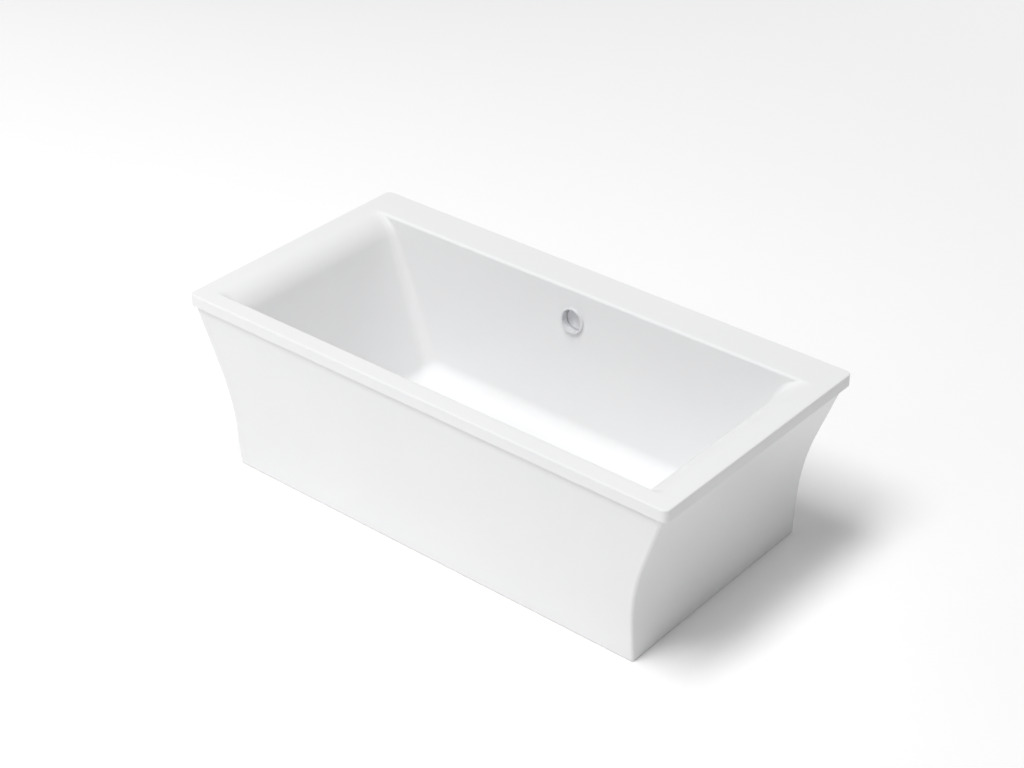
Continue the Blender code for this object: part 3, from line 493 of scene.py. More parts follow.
def block(name, low, high, finish, bevel):
    """A box with rounded edges."""
    low, high = Vector(low), Vector(high)
    bm = bmesh.new()
    bmesh.ops.create_cube(bm, size=1.0)
    bmesh.ops.scale(bm, vec=high - low, verts=bm.verts)
    bmesh.ops.translate(bm, vec=(low + high) / 2, verts=bm.verts)
    bmesh.ops.bevel(bm, geom=bm.edges, offset=bevel, segments=4, profile=0.5, affect="EDGES")
    return to_object(name, bm, [finish])


def carve(target, *steps):
    """Joins or cuts the target with each helper solid in turn, then drops the helpers."""
    for operation, other in steps:
        step = target.modifiers.new(other.name, "BOOLEAN")
        step.operation = operation
        step.solver = "EXACT"
        step.object = other
    graph = bpy.context.evaluated_depsgraph_get()
    mesh = bpy.data.meshes.new_from_object(target.evaluated_get(graph))
    target.modifiers.clear()
    target.data = mesh
    for _, other in steps:
        bpy.data.objects.remove(other)
    mesh.shade_smooth()
    mesh.set_sharp_from_angle(angle=math.radians(35))
    return target


def spread(first, last, count):
    return [first + (last - first) * k / (count - 1) for k in range(count)]


# ---------------------------------------------------------------- outlines
def outline(half_x, y_low, y_high, z, radius, steps):
    """Points anticlockwise round a rectangle with arcs at its corners and evenly divided sides."""
    corners = (
        (half_x - radius, y_high - radius),
        (radius - half_x, y_high - radius),
        (radius - half_x, y_low + radius),
        (half_x - radius, y_low + radius),
    )
    arcs = []
    for quarter, (cx, cy) in enumerate(corners):
        angles = spread(math.pi / 2 * quarter, math.pi / 2 * (quarter + 1), steps + 1)
        arcs.append([Vector((cx + radius * math.cos(a), cy + radius * math.sin(a), z)) for a in angles])
    points = []
    for quarter, arc in enumerate(arcs):
        points += arc
        runs = SHORT_RUNS if quarter % 2 else LONG_RUNS
        following = arcs[(quarter + 1) % 4][0]
        points += [arc[-1].lerp(following, k / runs) for k in range(1, runs)]
    return points


def circle_under(points, centre, radius, z):
    """A circle whose points lie straight inwards of an outline's points."""
    ring = []
    for point in points:
        outwards = Vector((point.x - centre.x, point.y - centre.y, 0.0)).normalized()
        ring.append(Vector((centre.x, centre.y, z)) + radius * outwards)
    return ring


# ---------------------------------------------------------------- basin
def wall_distance(z, top, roll, slope, grow):
    """How far out a basin wall is at height z: floor fillet, straight wall, then the roll up to the deck."""
    roll_z = HEIGHT - roll
    fillet_z = FLOOR_Z + FLOOR_FILLET
    wall_top = (top - roll * math.cos(slope), roll_z + roll * math.sin(slope))
    fillet_x = wall_top[0] - (
        FLOOR_FILLET + (wall_top[1] - fillet_z) * math.sin(slope)
    ) / math.cos(slope)
    big, small = FLOOR_FILLET + grow, roll - grow
    if z <= fillet_z - big * math.sin(slope):
        return fillet_x + math.sqrt(max(0.0, big**2 - (fillet_z - z) ** 2))
    if z >= roll_z + small * math.sin(slope):
        return top - math.sqrt(max(0.0, small**2 - (z - roll_z) ** 2))
    foot_z = fillet_z - big * math.sin(slope)
    foot_x = fillet_x + big * math.cos(slope)
    return foot_x + (z - foot_z) * math.tan(slope)


def bowl_heights(grow):
    """Heights of the bowl's loops, floor to deck, close together where the walls curve."""
    big = FLOOR_FILLET + grow
    fillet_z = FLOOR_Z + FLOOR_FILLET
    steep = math.pi / 2 - SIDE_SLOPE
    heights = [fillet_z - big * math.cos(a) for a in spread(0.0, steep, 18)]
    small = END_ROLL - grow
    roll_z = HEIGHT - END_ROLL
    roll_from = roll_z + small * math.sin(END_SLOPE)
    heights += spread(heights[-1], roll_from, 14)[1:]
    edge = SIDE_ROLL - grow
    edge_from = HEIGHT - SIDE_ROLL + edge * math.sin(SIDE_SLOPE)
    ends_at = math.acos((edge_from - roll_z) / small)
    turn = spread(math.pi / 2 - END_SLOPE, ends_at, 18)
    heights += [roll_z + small * math.cos(a) for a in turn[1:]]
    heights += [HEIGHT - SIDE_ROLL + edge * math.cos(a) for a in spread(steep, 0.0, 14)[1:]]
    return heights


def bowl_loop(z, grow):
    out_x = wall_distance(z, OPENING_X, END_ROLL, END_SLOPE, grow)
    out_y = wall_distance(z, BOWL_HALF_Y, SIDE_ROLL, SIDE_SLOPE, grow)
    blend = min(1.0, (HEIGHT - grow - z) / CORNER_BLEND)
    radius = grow + OPENING_CORNER + (WALL_CORNER - OPENING_CORNER) * blend
    return outline(out_x, BOWL_Y - out_y, BOWL_Y + out_y, z, radius, CORNER_STEPS)


def rim_loop(inset, z):
    x, y = LENGTH / 2 - inset, WIDTH / 2 - inset
    return outline(x, -y, y, z, max(RIM_CORNER - inset, 0.004), CORNER_STEPS)


def overflow_place():
    """Origin at the overflow's centre on the back wall, +Z pointing out through the wall."""
    y = BOWL_Y + wall_distance(OVERFLOW_Z, BOWL_HALF_Y, SIDE_ROLL, SIDE_SLOPE, 0.0)
    outwards = Vector((0.0, math.cos(SIDE_SLOPE), -math.sin(SIDE_SLOPE)))
    turn = outwards.to_track_quat("Z", "X").to_matrix().to_4x4()
    return Matrix.Translation((WASTE_X, y, OVERFLOW_Z)) @ turn


def roughen(made, finish_index, depth, scale):
    """Moves the vertices that only touch one finish, along their normals, by a smooth noise."""
    mesh = made.data
    inside = {v for p in mesh.polygons if p.material_index == finish_index for v in p.vertices}
    inside -= {v for p in mesh.polygons if p.material_index != finish_index for v in p.vertices}
    moved = {i: noise.noise(mesh.vertices[i].co * scale) * depth for i in inside}
    normals = {i: mesh.vertices[i].normal.copy() for i in inside}
    for i, distance in moved.items():
        mesh.vertices[i].co += normals[i] * distance


def make_basin():
    recess_z, under_z = FLOOR_Z - RECESS_DEPTH, FLOOR_Z - SHELL
    inner = [bowl_loop(z, 0.0) for z in bowl_heights(0.0)]
    outer = [bowl_loop(z, SHELL) for z in reversed(bowl_heights(SHELL))]

    def circle(radius, z):
        return circle_under(inner[0], DRAIN, radius, z)

    edge = 0.0012
    loops = [
        circle(DRAIN_HOLE, recess_z - edge),
        circle(DRAIN_HOLE + 0.3 * edge, recess_z - 0.3 * edge),
        circle(DRAIN_HOLE + edge, recess_z),
        circle(DRAIN_RECESS - RECESS_DEPTH - edge, recess_z),
        circle(DRAIN_RECESS - RECESS_DEPTH + 0.3 * edge, recess_z + 0.5 * edge),
        circle(DRAIN_RECESS - edge, FLOOR_Z - 0.5 * edge),
        circle(DRAIN_RECESS + 0.3 * edge, FLOOR_Z),
        circle(DRAIN_RECESS + 4 * edge, FLOOR_Z),
    ]
    floor_edge = [p.lerp(DRAIN + p.z * Z_AXIS, 0.04) for p in inner[0]]
    loops += [floor_edge] + inner
    for a in spread(0.0, math.pi / 2, 8):
        loops.append(rim_loop(RIM_EDGE * (1 - math.sin(a)), HEIGHT - RIM_EDGE * (1 - math.cos(a))))
    lip_z = HEIGHT - LIP_HEIGHT
    for a in spread(0.0, math.pi / 2, 5):
        loops.append(rim_loop(LIP_EDGE * (1 - math.cos(a)), lip_z + LIP_EDGE * (1 - math.sin(a))))
    turn = LIP_THICK - LIP_EDGE
    for a in spread(0.0, math.pi / 2, 4)[1:]:
        loops.append(rim_loop(LIP_EDGE + turn * math.sin(a), lip_z + 0.5 * turn * (1 - math.cos(a))))
    shown = len(loops) - 1
    under_deck = HEIGHT - SHELL
    for a in spread(0.0, math.pi / 2, 5):
        loops.append(rim_loop(LIP_THICK + 0.003 * (1 - math.cos(a)), under_deck - 0.003 * (1 - math.sin(a))))
    loops += outer
    loops += [circle(DRAIN_RECESS, under_z), circle(DRAIN_HOLE, under_z)]
    bands = [0 if band < shown else 1 for band in range(len(loops))]
    basin = loft("basin_moulding", loops, [ACRYLIC, LAMINATE], bands)
    roughen(basin, 1, 0.0004, 22.0)
    place = overflow_place()
    start, end = place @ Vector((0, 0, -3 * CUTTER)), place @ Vector((0, 0, 3 * CUTTER))
    hole = rod(start, end, OVERFLOW_HOLE, ACRYLIC, FINE)
    stand_for(carve(basin, ("DIFFERENCE", hole)), "basin")


# ---------------------------------------------------------------- shroud and rim
def shroud_half(z):
    """Half length and half width of the shroud's outside at height z."""
    z = min(z, SHROUD_BAND)
    half_y = SHROUD_BASE_Y + SHROUD_SIDE_RISE * z
    lean = math.atan(SHROUD_END_RISE)
    bend = (SHROUD_BEND_TOP - SHROUD_STRAIGHT) / math.sin(lean)
    if z <= SHROUD_STRAIGHT:
        half_x = SHROUD_BASE_X
    elif z <= SHROUD_BEND_TOP:
        half_x = SHROUD_BASE_X + bend - math.sqrt(bend**2 - (z - SHROUD_STRAIGHT) ** 2)
    else:
        half_x = SHROUD_BASE_X + bend * (1 - math.cos(lean))
        half_x += SHROUD_END_RISE * (z - SHROUD_BEND_TOP)
    return half_x, half_y


def shroud_loop(z, inset):
    half_x, half_y = shroud_half(z)
    corner = max(SHROUD_CORNER - inset, 0.003)
    return outline(half_x - inset, inset - half_y, half_y - inset, z, corner, CORNER_STEPS)


def make_shroud():
    edge = 0.0015
    flange_z = SHROUD_BOTTOM + SHROUD_THICK
    loops = []
    for a in spread(0.0, math.pi / 2, 5):
        loops.append(shroud_loop(SHROUD_BOTTOM + edge * (1 - math.sin(a)), edge * (1 - math.cos(a))))
    heights = spread(SHROUD_BOTTOM + 2 * edge, SHROUD_STRAIGHT, 6)
    heights += spread(SHROUD_STRAIGHT, SHROUD_BEND_TOP, 28)[1:]
    heights += spread(SHROUD_BEND_TOP, SHROUD_BAND, 7)[1:]
    heights += [SHROUD_TOP - edge]
    loops = list(reversed(loops)) + [shroud_loop(z, 0.0) for z in heights]
    loops += [shroud_loop(SHROUD_TOP, edge), shroud_loop(SHROUD_TOP, SHROUD_THICK)]
    shown = len(loops) - 1
    inside = [flange_z + 0.004] + heights[2:-1]
    loops += [shroud_loop(z, SHROUD_THICK) for z in reversed(inside)]
    loops += [
        shroud_loop(flange_z + 0.001, SHROUD_THICK + 0.001),
        shroud_loop(flange_z, SHROUD_THICK + 0.004),
        shroud_loop(flange_z, SHROUD_FLANGE - edge),
        shroud_loop(flange_z - edge, SHROUD_FLANGE),
        shroud_loop(SHROUD_BOTTOM, SHROUD_FLANGE),
    ]
    bands = [0 if band < shown else 1 for band in range(len(loops))]
    shroud = loft("shroud_moulding", loops, [ACRYLIC, LAMINATE], bands)
    roughen(shroud, 1, 0.0005, 22.0)
    stand_for(shroud, "shroud")


def make_rim_supports():
    """Planed battens under the deck, and the squeezed bead that bonds it to the shroud."""
    for side in ("front", "rear", "left", "right"):
        node = f"batten_{side}"
        low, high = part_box(node)
        wood = LONG_BATTEN if side in ("front", "rear") else END_BATTEN
        stand_for(block(f"{node}_planed", low, high, wood, 0.0015), node)

    low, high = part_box("rim_bond_bead")
    middle, half = (low.z + high.z) / 2, (high.z - low.z) / 2
    inset, half_wide, sides = 0.0025, 0.0020, 12
    loops = []
    for k in range(sides):
        a = math.tau * k / sides
        loops.append(shroud_loop(SHROUD_BAND, inset + half_wide * math.cos(a)))
        for point in loops[-1]:
            point.z = middle + half * math.sin(a)
    stand_for(loft("rim_bond_bead_squeezed", loops, [SEALANT]), "rim_bond_bead")


# ---------------------------------------------------------------- frame and feet
def threaded(name, low, high, thread, finish, place, segments=24):
    """A rod with a helical thread of some radius, pitch and depth, run out at both ends."""
    radius, pitch, depth = thread
    per_pitch = 6
    count = round((high - low) / pitch * per_pitch)
    bm = bmesh.new()
    rows = []
    for k in range(count + 1):
        z = low + (high - low) * k / count
        run_out = min(1.0, (z - low) / pitch, (high - z) / pitch)
        ring = []
        for i in range(segments):
            a = math.tau * i / segments
            phase = (z / pitch - i / segments) % 1.0
            crest = min(1.0, 1.25 * (1.0 - abs(2.0 * phase - 1.0))) * run_out
            r = radius - depth * (1.0 - crest)
            ring.append(bm.verts.new((r * math.cos(a), r * math.sin(a), z)))
        rows.append(ring)
    for lower, upper in zip(rows, rows[1:]):
        for i in range(segments):
            j = (i + 1) % segments
            bm.faces.new((lower[i], lower[j], upper[j], upper[i]))
    bm.faces.new(list(reversed(rows[0])))
    bm.faces.new(rows[-1])
    made = to_object(name, bm, [finish], math.radians(50))
    made.matrix_world = place
    return made


def six_sided(flats):
    """Trims a turned piece to a hexagon, leaving any part that is already narrower."""

    def shape(angle, radius, height):
        from_flat = (angle + math.pi / 6) % (math.pi / 3) - math.pi / 6
        return min(radius, flats / 2 / math.cos(from_flat))

    return shape


def ribbed(count, depth, above):
    """Presses rounded ribs into what lies outside a radius."""

    def shape(angle, radius, height):
        if radius <= above:
            return radius
        return radius - depth * (0.5 - 0.5 * math.cos(count * angle)) ** 2

    return shape


def standing(node):
    """Where a turned piece that stands upright is, with its lowest and highest points and its radius."""
    low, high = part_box(node)
    place = Matrix.Translation(((low.x + high.x) / 2, (low.y + high.y) / 2, 0.0))
    return place, low.z, high.z, (high.x - low.x) / 2


def make_board():
    low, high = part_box("base_board")
    board = block("base_board_ply", low, high, PLYWOOD, 0.0020)
    under, over = low.z - CUTTER, high.z + CUTTER
    hole = rod(DRAIN + under * Z_AXIS, DRAIN + over * Z_AXIS, BOARD_DRAIN_HOLE, PLYWOOD, FINE)
    cuts = [("DIFFERENCE", hole)]
    for side in SIDES:
        for end in ENDS:
            place, _, top, _ = standing(f"bearer_screw_{side}_{end}")
            foot = place.translation
            pilot = rod(foot + under * Z_AXIS, foot + (top + GAP) * Z_AXIS, SCREW_R + GAP, PLYWOOD, 16)
            cuts.append(("DIFFERENCE", pilot))
    stand_for(carve(board, *cuts), "base_board")


def make_bearer(side):
    """A rectangular steel tube with rolled corners, sawn square and drilled."""
    node = f"bearer_{side}"
    low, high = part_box(node)
    x, half = (low.x + high.x) / 2, (high.x - low.x) / 2

    def section(y, inset):
        corner = BEARER_CORNER - min(inset, BEARER_WALL * 0.8)
        sides = ((half, high.z), (-half, high.z), (-half, low.z), (half, low.z))
        points = []
        for quarter, (dx, z) in enumerate(sides):
            cx = dx - math.copysign(corner + inset, dx)
            cz = z - math.copysign(corner + inset, z - (low.z + high.z) / 2)
            for a in spread(math.pi / 2 * quarter, math.pi / 2 * (quarter + 1), 5):
                points.append(Vector((x + cx + corner * math.cos(a), y, cz + corner * math.sin(a))))
        return points

    saw = 0.0003
    loops = [section(low.y, saw), section(low.y + saw, 0.0), section(high.y - saw, 0.0), section(high.y, saw)]
    loops += [section(high.y, BEARER_WALL), section(low.y, BEARER_WALL)]
    bearer = loft(f"{node}_tube", loops, [GALVANISED])
    cuts = []
    for end in ENDS:
        for fitting, radius in (("foot_stud", STUD_R), ("bearer_screw", SCREW_R)):
            place = standing(f"{fitting}_{side}_{end}")[0].translation
            under, over = place + (low.z - CUTTER) * Z_AXIS, place + (high.z + CUTTER) * Z_AXIS
            cuts.append(("DIFFERENCE", rod(under, over, radius + GAP, GALVANISED, 24)))
    stand_for(carve(bearer, *cuts), node)


def make_screw(side, end):
    """A washer-head self-drilling screw."""
    node = f"bearer_screw_{side}_{end}"
    place, low, high, _ = standing(node)
    washer, head_top = low + 0.68 * SCREW_HEAD_H, low + SCREW_HEAD_H
    point, root = high - SCREW_POINT, SCREW_R - SCREW_DEPTH
    thread = (SCREW_R, SCREW_PITCH, SCREW_DEPTH)
    shank = threaded(f"{node}_threaded", head_top - SCREW_DEPTH, point, thread, ZINC, place, 16)
    head = [
        (0.0, low),
        (SCREW_HEX * 0.92, low),
        (SCREW_HEX * 1.12, low + 0.0004),
        (SCREW_HEX * 1.16, washer),
        (SCREW_HEAD_R - 0.0003, washer + 0.0002),
        (SCREW_HEAD_R, washer + 0.0005),
        (SCREW_HEAD_R, head_top),
        (0.0, head_top),
    ]
    hexagon = six_sided(2 * SCREW_HEX)

    def trim(angle, radius, height):
        return hexagon(angle, radius, height) if height <= washer else radius

    cap = turned("head", head, ZINC, place, 36, trim)
    tip = [(0.0, point - 0.0003), (root - 0.0001, point - 0.0003), (0.0, high)]
    drill = turned("tip", tip, ZINC, place, 16)
    stand_for(carve(shank, ("UNION", cap), ("UNION", drill)), node)


def make_foot(side, end):
    """A levelling foot: ribbed nylon pad, threaded stud, and the locknut under the bearer."""
    name = f"{side}_{end}"
    place, low, high, radius = standing(f"foot_pad_{name}")
    bore = STUD_R + GAP
    socket_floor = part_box(f"foot_stud_{name}")[0].z - GAP
    pad = [
        (0.0, low),
        (radius - 0.0020, low),
        (radius, low + 0.0020),
        (radius, low + 0.0060),
        (radius - 0.0030, low + 0.0078),
        (PAD_BOSS_R + 0.0015, low + 0.0095),
        (PAD_BOSS_R, low + 0.0120),
        (PAD_BOSS_R, high),
        (bore, high),
        (bore, socket_floor),
        (0.0, socket_floor),
    ]
    grip = ribbed(24, 0.0011, radius * 0.93)
    made = turned(f"foot_pad_{name}_moulded", soften(pad, 0.0012), NYLON, place, 72, grip)
    stand_for(made, f"foot_pad_{name}")

    _, low, high, _ = standing(f"foot_stud_{name}")
    thread = (STUD_R, STUD_PITCH, STUD_DEPTH)
    made = threaded(f"foot_stud_{name}_threaded", low, high, thread, ZINC, place)
    stand_for(made, f"foot_stud_{name}")
    make_locknut(f"foot_locknut_{name}", place)


def make_locknut(node, place):
    """A hexagon chamfered at both faces, with a countersunk bore."""
    low, high = (corner.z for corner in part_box(node))
    flat, bore, sink = NUT_FLATS / 2, STUD_R + GAP, 0.0008
    across = flat / math.cos(math.pi / 6)
    rise = (0.25, 0.5, 0.75, 1.0)
    nut = [(bore + sink, low), (flat - GAP, low)]
    nut += [(flat + (across - flat) * t, low + NUT_CHAMFER * t) for t in rise]
    nut += [(flat + (across - flat) * t, high - NUT_CHAMFER * t) for t in reversed(rise)]
    nut += [(flat - GAP, high), (bore + sink, high), (bore, high - sink), (bore, low + sink)]
    stand_for(turned(f"{node}_hexagon", nut, ZINC, place, 72, six_sided(NUT_FLATS)), node)


def make_bracket(side, end):
    """A folded strap between a bearer's end and the shroud's foot, with a hole in each leg."""
    node = f"shroud_bracket_{side}_{end}"
    low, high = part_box(node)
    sign = 1.0 if end == "rear" else -1.0
    inner, outer = sorted((abs(low.y), abs(high.y)))
    leg = outer - BRACKET_THICK
    section = [
        (inner, high.z - BRACKET_THICK),
        (leg, high.z - BRACKET_THICK),
        (leg, low.z),
        (outer, low.z),
        (outer, high.z),
        (inner, high.z),
    ]
    rounded = soften(section, 0.0009, 3)
    loops = [[Vector((x, sign * y, z)) for y, z in rounded] for x in (low.x, high.x)]
    strap = loft(f"{node}_folded", loops, [GALVANISED], ring=False)

    x, z = (low.x + high.x) / 2, (low.z + high.z) / 2
    flat = Vector((x, sign * (inner + BRACKET_INSET), high.z))
    upper = rod(flat - CUTTER * Z_AXIS, flat + CUTTER * Z_AXIS, BRACKET_HOLE, GALVANISED)
    start, end = Vector((x, sign * (leg - CUTTER), z)), Vector((x, sign * (outer + CUTTER), z))
    lower = rod(start, end, BRACKET_HOLE, GALVANISED)
    stand_for(carve(strap, ("DIFFERENCE", upper), ("DIFFERENCE", lower)), node)


# ---------------------------------------------------------------- overflow
def make_overflow():
    place = overflow_place()
    crown, springing = (RING_R + RING_BORE) / 2, -0.0030
    ring = [(RING_R, -GAP), (RING_R, springing)]
    for a in spread(0.0, math.pi, 24):
        proud = (RING_PROUD + springing) * math.sin(a) ** 0.8
        ring.append((crown + (RING_R - crown) * math.cos(a), springing - proud))
    ring += [(RING_BORE, 0.0), (RING_BORE, RING_REACH), (RING_TUBE, RING_REACH), (RING_TUBE, -GAP)]
    stand_for(turned("overflow_ring_polished", ring, SATIN, place, FINE), "overflow_ring")

    low, high, inner = SHELL + GAP, SHELL + GAP + GASKET_THICK, RING_TUBE + SLIDE
    gasket = [(ELBOW_R, low), (ELBOW_R, high), (inner, high), (inner, low)]
    made = turned("overflow_gasket_moulded", soften(gasket, 0.0008), RUBBER, place, FINE)
    stand_for(made, "overflow_gasket")

    front = high + GAP
    back = front + ELBOW_DEEP
    boss_front = back - ELBOW_WALL - BOSS_DEEP
    stud_end = boss_front + DISC_STUD_DEEP
    make_overflow_disc(place, boss_front - GAP, stud_end)
    make_elbow(place, front, back, boss_front, stud_end + GAP)


def make_elbow(place, front, back, boss_front, hole_end):
    """The chamber behind the wall, its spout down to the pipe, and the boss that holds the disc."""

    def depth(along):
        return place @ Vector((0, 0, along))

    edge = 0.0040
    chamber = [(0.0, back), (ELBOW_R - edge, back), (ELBOW_R, back - edge), (ELBOW_R, front), (0.0, front)]
    elbow = turned("overflow_elbow_moulded", soften(chamber, 0.0030, 5), PVC, place, FINE)
    axis, _, _, _ = standing("overflow_pipe")
    spout_low = axis.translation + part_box("overflow_elbow")[0].z * Z_AXIS
    spout_high = axis.translation + SPOUT_TOP * Z_AXIS
    wall = ELBOW_WALL * Z_AXIS
    carve(
        elbow,
        ("UNION", rod(spout_low, spout_high, SOCKET_R, PVC)),
        ("DIFFERENCE", rod(depth(front - CUTTER), depth(back - ELBOW_WALL), ELBOW_BORE, PVC, FINE)),
        ("DIFFERENCE", rod(spout_low - 3 * wall, spout_high - wall, SOCKET_BORE, PVC)),
        ("UNION", rod(depth(boss_front), depth(back - ELBOW_WALL / 2), BOSS_R, PVC, 32)),
        ("DIFFERENCE", rod(depth(boss_front - CUTTER), depth(hole_end), DISC_STUD_R + GAP, PVC, 24)),
    )
    stand_for(elbow, "overflow_elbow")


def make_overflow_disc(place, shoulder, stud_end):
    """The plate that hides the overflow's inside, on a stem that screws into the elbow's boss."""
    rear = DISC_FRONT + DISC_THICK
    profile = [
        (0.0, DISC_FRONT),
        (DISC_R, DISC_FRONT),
        (DISC_R, rear),
        (DISC_STEM, rear),
        (DISC_STEM, shoulder),
        (DISC_STUD_R, shoulder),
        (DISC_STUD_R, stud_end),
        (0.0, stud_end),
    ]
    made = turned("overflow_disc_polished", soften(profile, 0.0008), SATIN, place, FINE)
    stand_for(made, "overflow_disc")


# ---------------------------------------------------------------- waste pipes
def along_axis(start, along):
    """Frame at a point, with its +Z along a direction."""
    return Matrix.Translation(start) @ along.to_track_quat("Z", "X").to_matrix().to_4x4()


def make_pipe(node, along):
    """A cut length of pipe, chamfered at both ends."""
    low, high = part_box(node)
    length = (high - low).dot(along)
    start = (low + high) / 2 - along * length / 2
    chamfer = 0.0006
    profile = [
        (PIPE_R - chamfer, 0.0),
        (PIPE_R, chamfer),
        (PIPE_R, length - chamfer),
        (PIPE_R - chamfer, length),
        (PIPE_BORE, length),
        (PIPE_BORE, 0.0),
    ]
    stand_for(turned(f"{node}_cut", profile, PVC, along_axis(start, along)), node)


def make_slip_nut(node, outwards):
    """A ribbed union nut over a socket's mouth. outwards points out of the socket, along its pipe."""
    low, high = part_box(node)
    length = abs((high - low).dot(outwards))
    top = length - SLIP_NUT_SKIRT
    mouth = (low + high) / 2 - outwards * (length / 2 - SLIP_NUT_SKIRT)
    edge = 0.0010
    profile = [
        (SOCKET_R + SLIDE, -SLIP_NUT_SKIRT),
        (SLIP_NUT_R - edge, -SLIP_NUT_SKIRT),
        (SLIP_NUT_R, edge - SLIP_NUT_SKIRT),
        (SLIP_NUT_R, top - 0.0045),
        (SLIP_NUT_R - 0.0022, top - 0.0020),
        (SLIP_NUT_R - 0.0045, top),
        (PIPE_R + SLIDE, top),
        (PIPE_R + SLIDE, GAP),
        (SOCKET_R + SLIDE, GAP),
    ]
    grip = ribbed(18, 0.0016, SLIP_NUT_R - 0.0015)
    place = along_axis(mouth, outwards)
    stand_for(turned(f"{node}_ribbed", soften(profile, 0.0006, 3), NYLON, place, 144, grip), node)


def make_waste():
    pipe_low, pipe_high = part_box("shoe_pipe")
    level = (pipe_low.z + pipe_high.z) / 2 * Z_AXIS
    make_shoe(level)
    make_tee(level)
    make_pipe("shoe_pipe", Y_AXIS)
    make_pipe("overflow_pipe", Z_AXIS)
    make_slip_nut("slip_nut_shoe", Y_AXIS)
    make_slip_nut("slip_nut_tee_side", -Y_AXIS)
    make_slip_nut("slip_nut_tee_top", Z_AXIS)
    make_slip_nut("slip_nut_elbow", -Z_AXIS)

    _, low, high, _ = standing("drain_gasket")
    outer, inner = SHOE_FLANGE_R - 0.0010, DRAIN_HOLE + 0.0010
    gasket = [(outer, low), (outer, high), (inner, high), (inner, low)]
    place = Matrix.Translation(DRAIN)
    made = turned("drain_gasket_moulded", soften(gasket, 0.0010), RUBBER, place, FINE)
    stand_for(made, "drain_gasket")


def make_shoe(level):
    """The cup under the drain, with an arm to the shoe pipe."""
    body = [
        (0.0, SHOE_LOW),
        (SHOE_R, SHOE_LOW),
        (SHOE_R, SHOE_FLANGE),
        (SHOE_FLANGE_R, SHOE_FLANGE),
        (SHOE_FLANGE_R, SHOE_TOP),
        (0.0, SHOE_TOP),
    ]
    place = Matrix.Translation(DRAIN)
    shoe = turned("drain_shoe_moulded", soften(body, 0.0045, 6), PVC, place, FINE)
    arm_end = Vector((WASTE_X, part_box("drain_shoe")[1].y, 0.0)) + level
    floor, past_top = DRAIN + (SHOE_LOW + ELBOW_WALL) * Z_AXIS, DRAIN + (SHOE_TOP + CUTTER) * Z_AXIS
    carve(
        shoe,
        ("UNION", rod(DRAIN + level, arm_end, SOCKET_R, PVC)),
        ("DIFFERENCE", rod(floor, past_top, SHOE_BORE, PVC)),
        ("DIFFERENCE", rod(DRAIN + level, arm_end + CUTTER * Y_AXIS, SOCKET_BORE, PVC)),
    )
    stand_for(shoe, "drain_shoe")


def make_tee(level):
    """The tee under the overflow pipe, thickest where the shoe pipe comes in."""
    stack, _, _, _ = standing("overflow_pipe")
    _, low, high, _ = standing("waste_tee")
    edge, step = 0.0010, 0.0030
    hub_low, hub_high = level.z - TEE_HUB_HALF, level.z + TEE_HUB_HALF
    run = [
        (0.0, low),
        (SOCKET_R - edge, low),
        (SOCKET_R, low + edge),
        (SOCKET_R, hub_low),
        (TEE_HUB_R, hub_low + step),
        (TEE_HUB_R, hub_high - step),
        (SOCKET_R, hub_high),
        (SOCKET_R, high - edge),
        (SOCKET_R - edge, high),
        (0.0, high),
    ]
    half_facet = Matrix.Rotation(math.pi / FINE, 4, "Z")
    tee = turned("waste_tee_moulded", run, PVC, stack @ half_facet, FINE)
    axis = stack.translation
    centre, mouth = axis + level, Vector((WASTE_X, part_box("waste_tee")[0].y, 0.0)) + level
    under, over = axis + (low - CUTTER) * Z_AXIS, axis + (high + CUTTER) * Z_AXIS
    carve(
        tee,
        ("UNION", rod(mouth, centre, SOCKET_R, PVC)),
        ("DIFFERENCE", rod(under, over, SOCKET_BORE, PVC)),
        ("DIFFERENCE", rod(mouth - CUTTER * Y_AXIS, mouth + TEE_INSERT * Y_AXIS, SOCKET_BORE, PVC)),
        ("DIFFERENCE", rod(mouth, centre - 0.004 * Y_AXIS, PIPE_BORE - 0.001, PVC)),
    )
    stand_for(tee, "waste_tee")


# ---------------------------------------------------------------- drain and its stopper
def make_drain():
    """The flange with a rolled rim, and the cross-bars and hub inside its throat."""
    place = Matrix.Translation(DRAIN)
    seat = FLOOR_Z - RECESS_DEPTH + GAP
    profile = [
        (FLANGE_R, seat),
        (FLANGE_R, seat + 0.0012),
        (FLANGE_R - 0.0007, seat + 0.0024),
        (FLANGE_R - 0.0025, seat + 0.0030),
        (FLANGE_R - 0.0055, seat + 0.0029),
        (FLANGE_R - 0.0085, seat + 0.0025),
        (FLANGE_THROAT + 0.0057, seat + 0.0010),
        (FLANGE_THROAT + 0.0030, seat - 0.0010),
        (FLANGE_THROAT + 0.0010, seat - 0.0032),
        (FLANGE_THROAT, seat - 0.0060),
        (FLANGE_THROAT, SLEEVE_BOTTOM),
        (SLEEVE_R, SLEEVE_BOTTOM),
        (SLEEVE_R, seat),
    ]
    flange = turned("drain_flange_polished", profile, CHROME, place, FINE)
    reach = FLANGE_THROAT + 0.0010
    steps = []
    for dx, dy in ((reach, SPIDER_HALF), (SPIDER_HALF, reach)):
        low, high = DRAIN + Vector((-dx, -dy, SPIDER_LOW)), DRAIN + Vector((dx, dy, SPIDER_HIGH))
        steps.append(("UNION", block("spider", low, high, CHROME, 0.0008)))
    low, high, past = DRAIN + HUB_LOW * Z_AXIS, DRAIN + HUB_TOP * Z_AXIS, CUTTER * Z_AXIS
    steps.append(("UNION", rod(low, high, HUB_R, CHROME, 32)))
    steps.append(("DIFFERENCE", rod(low - past, high + past, POST_R + GAP, CHROME, 24)))
    stand_for(carve(flange, *steps), "drain_flange")
    make_stopper(place)
    make_spring()


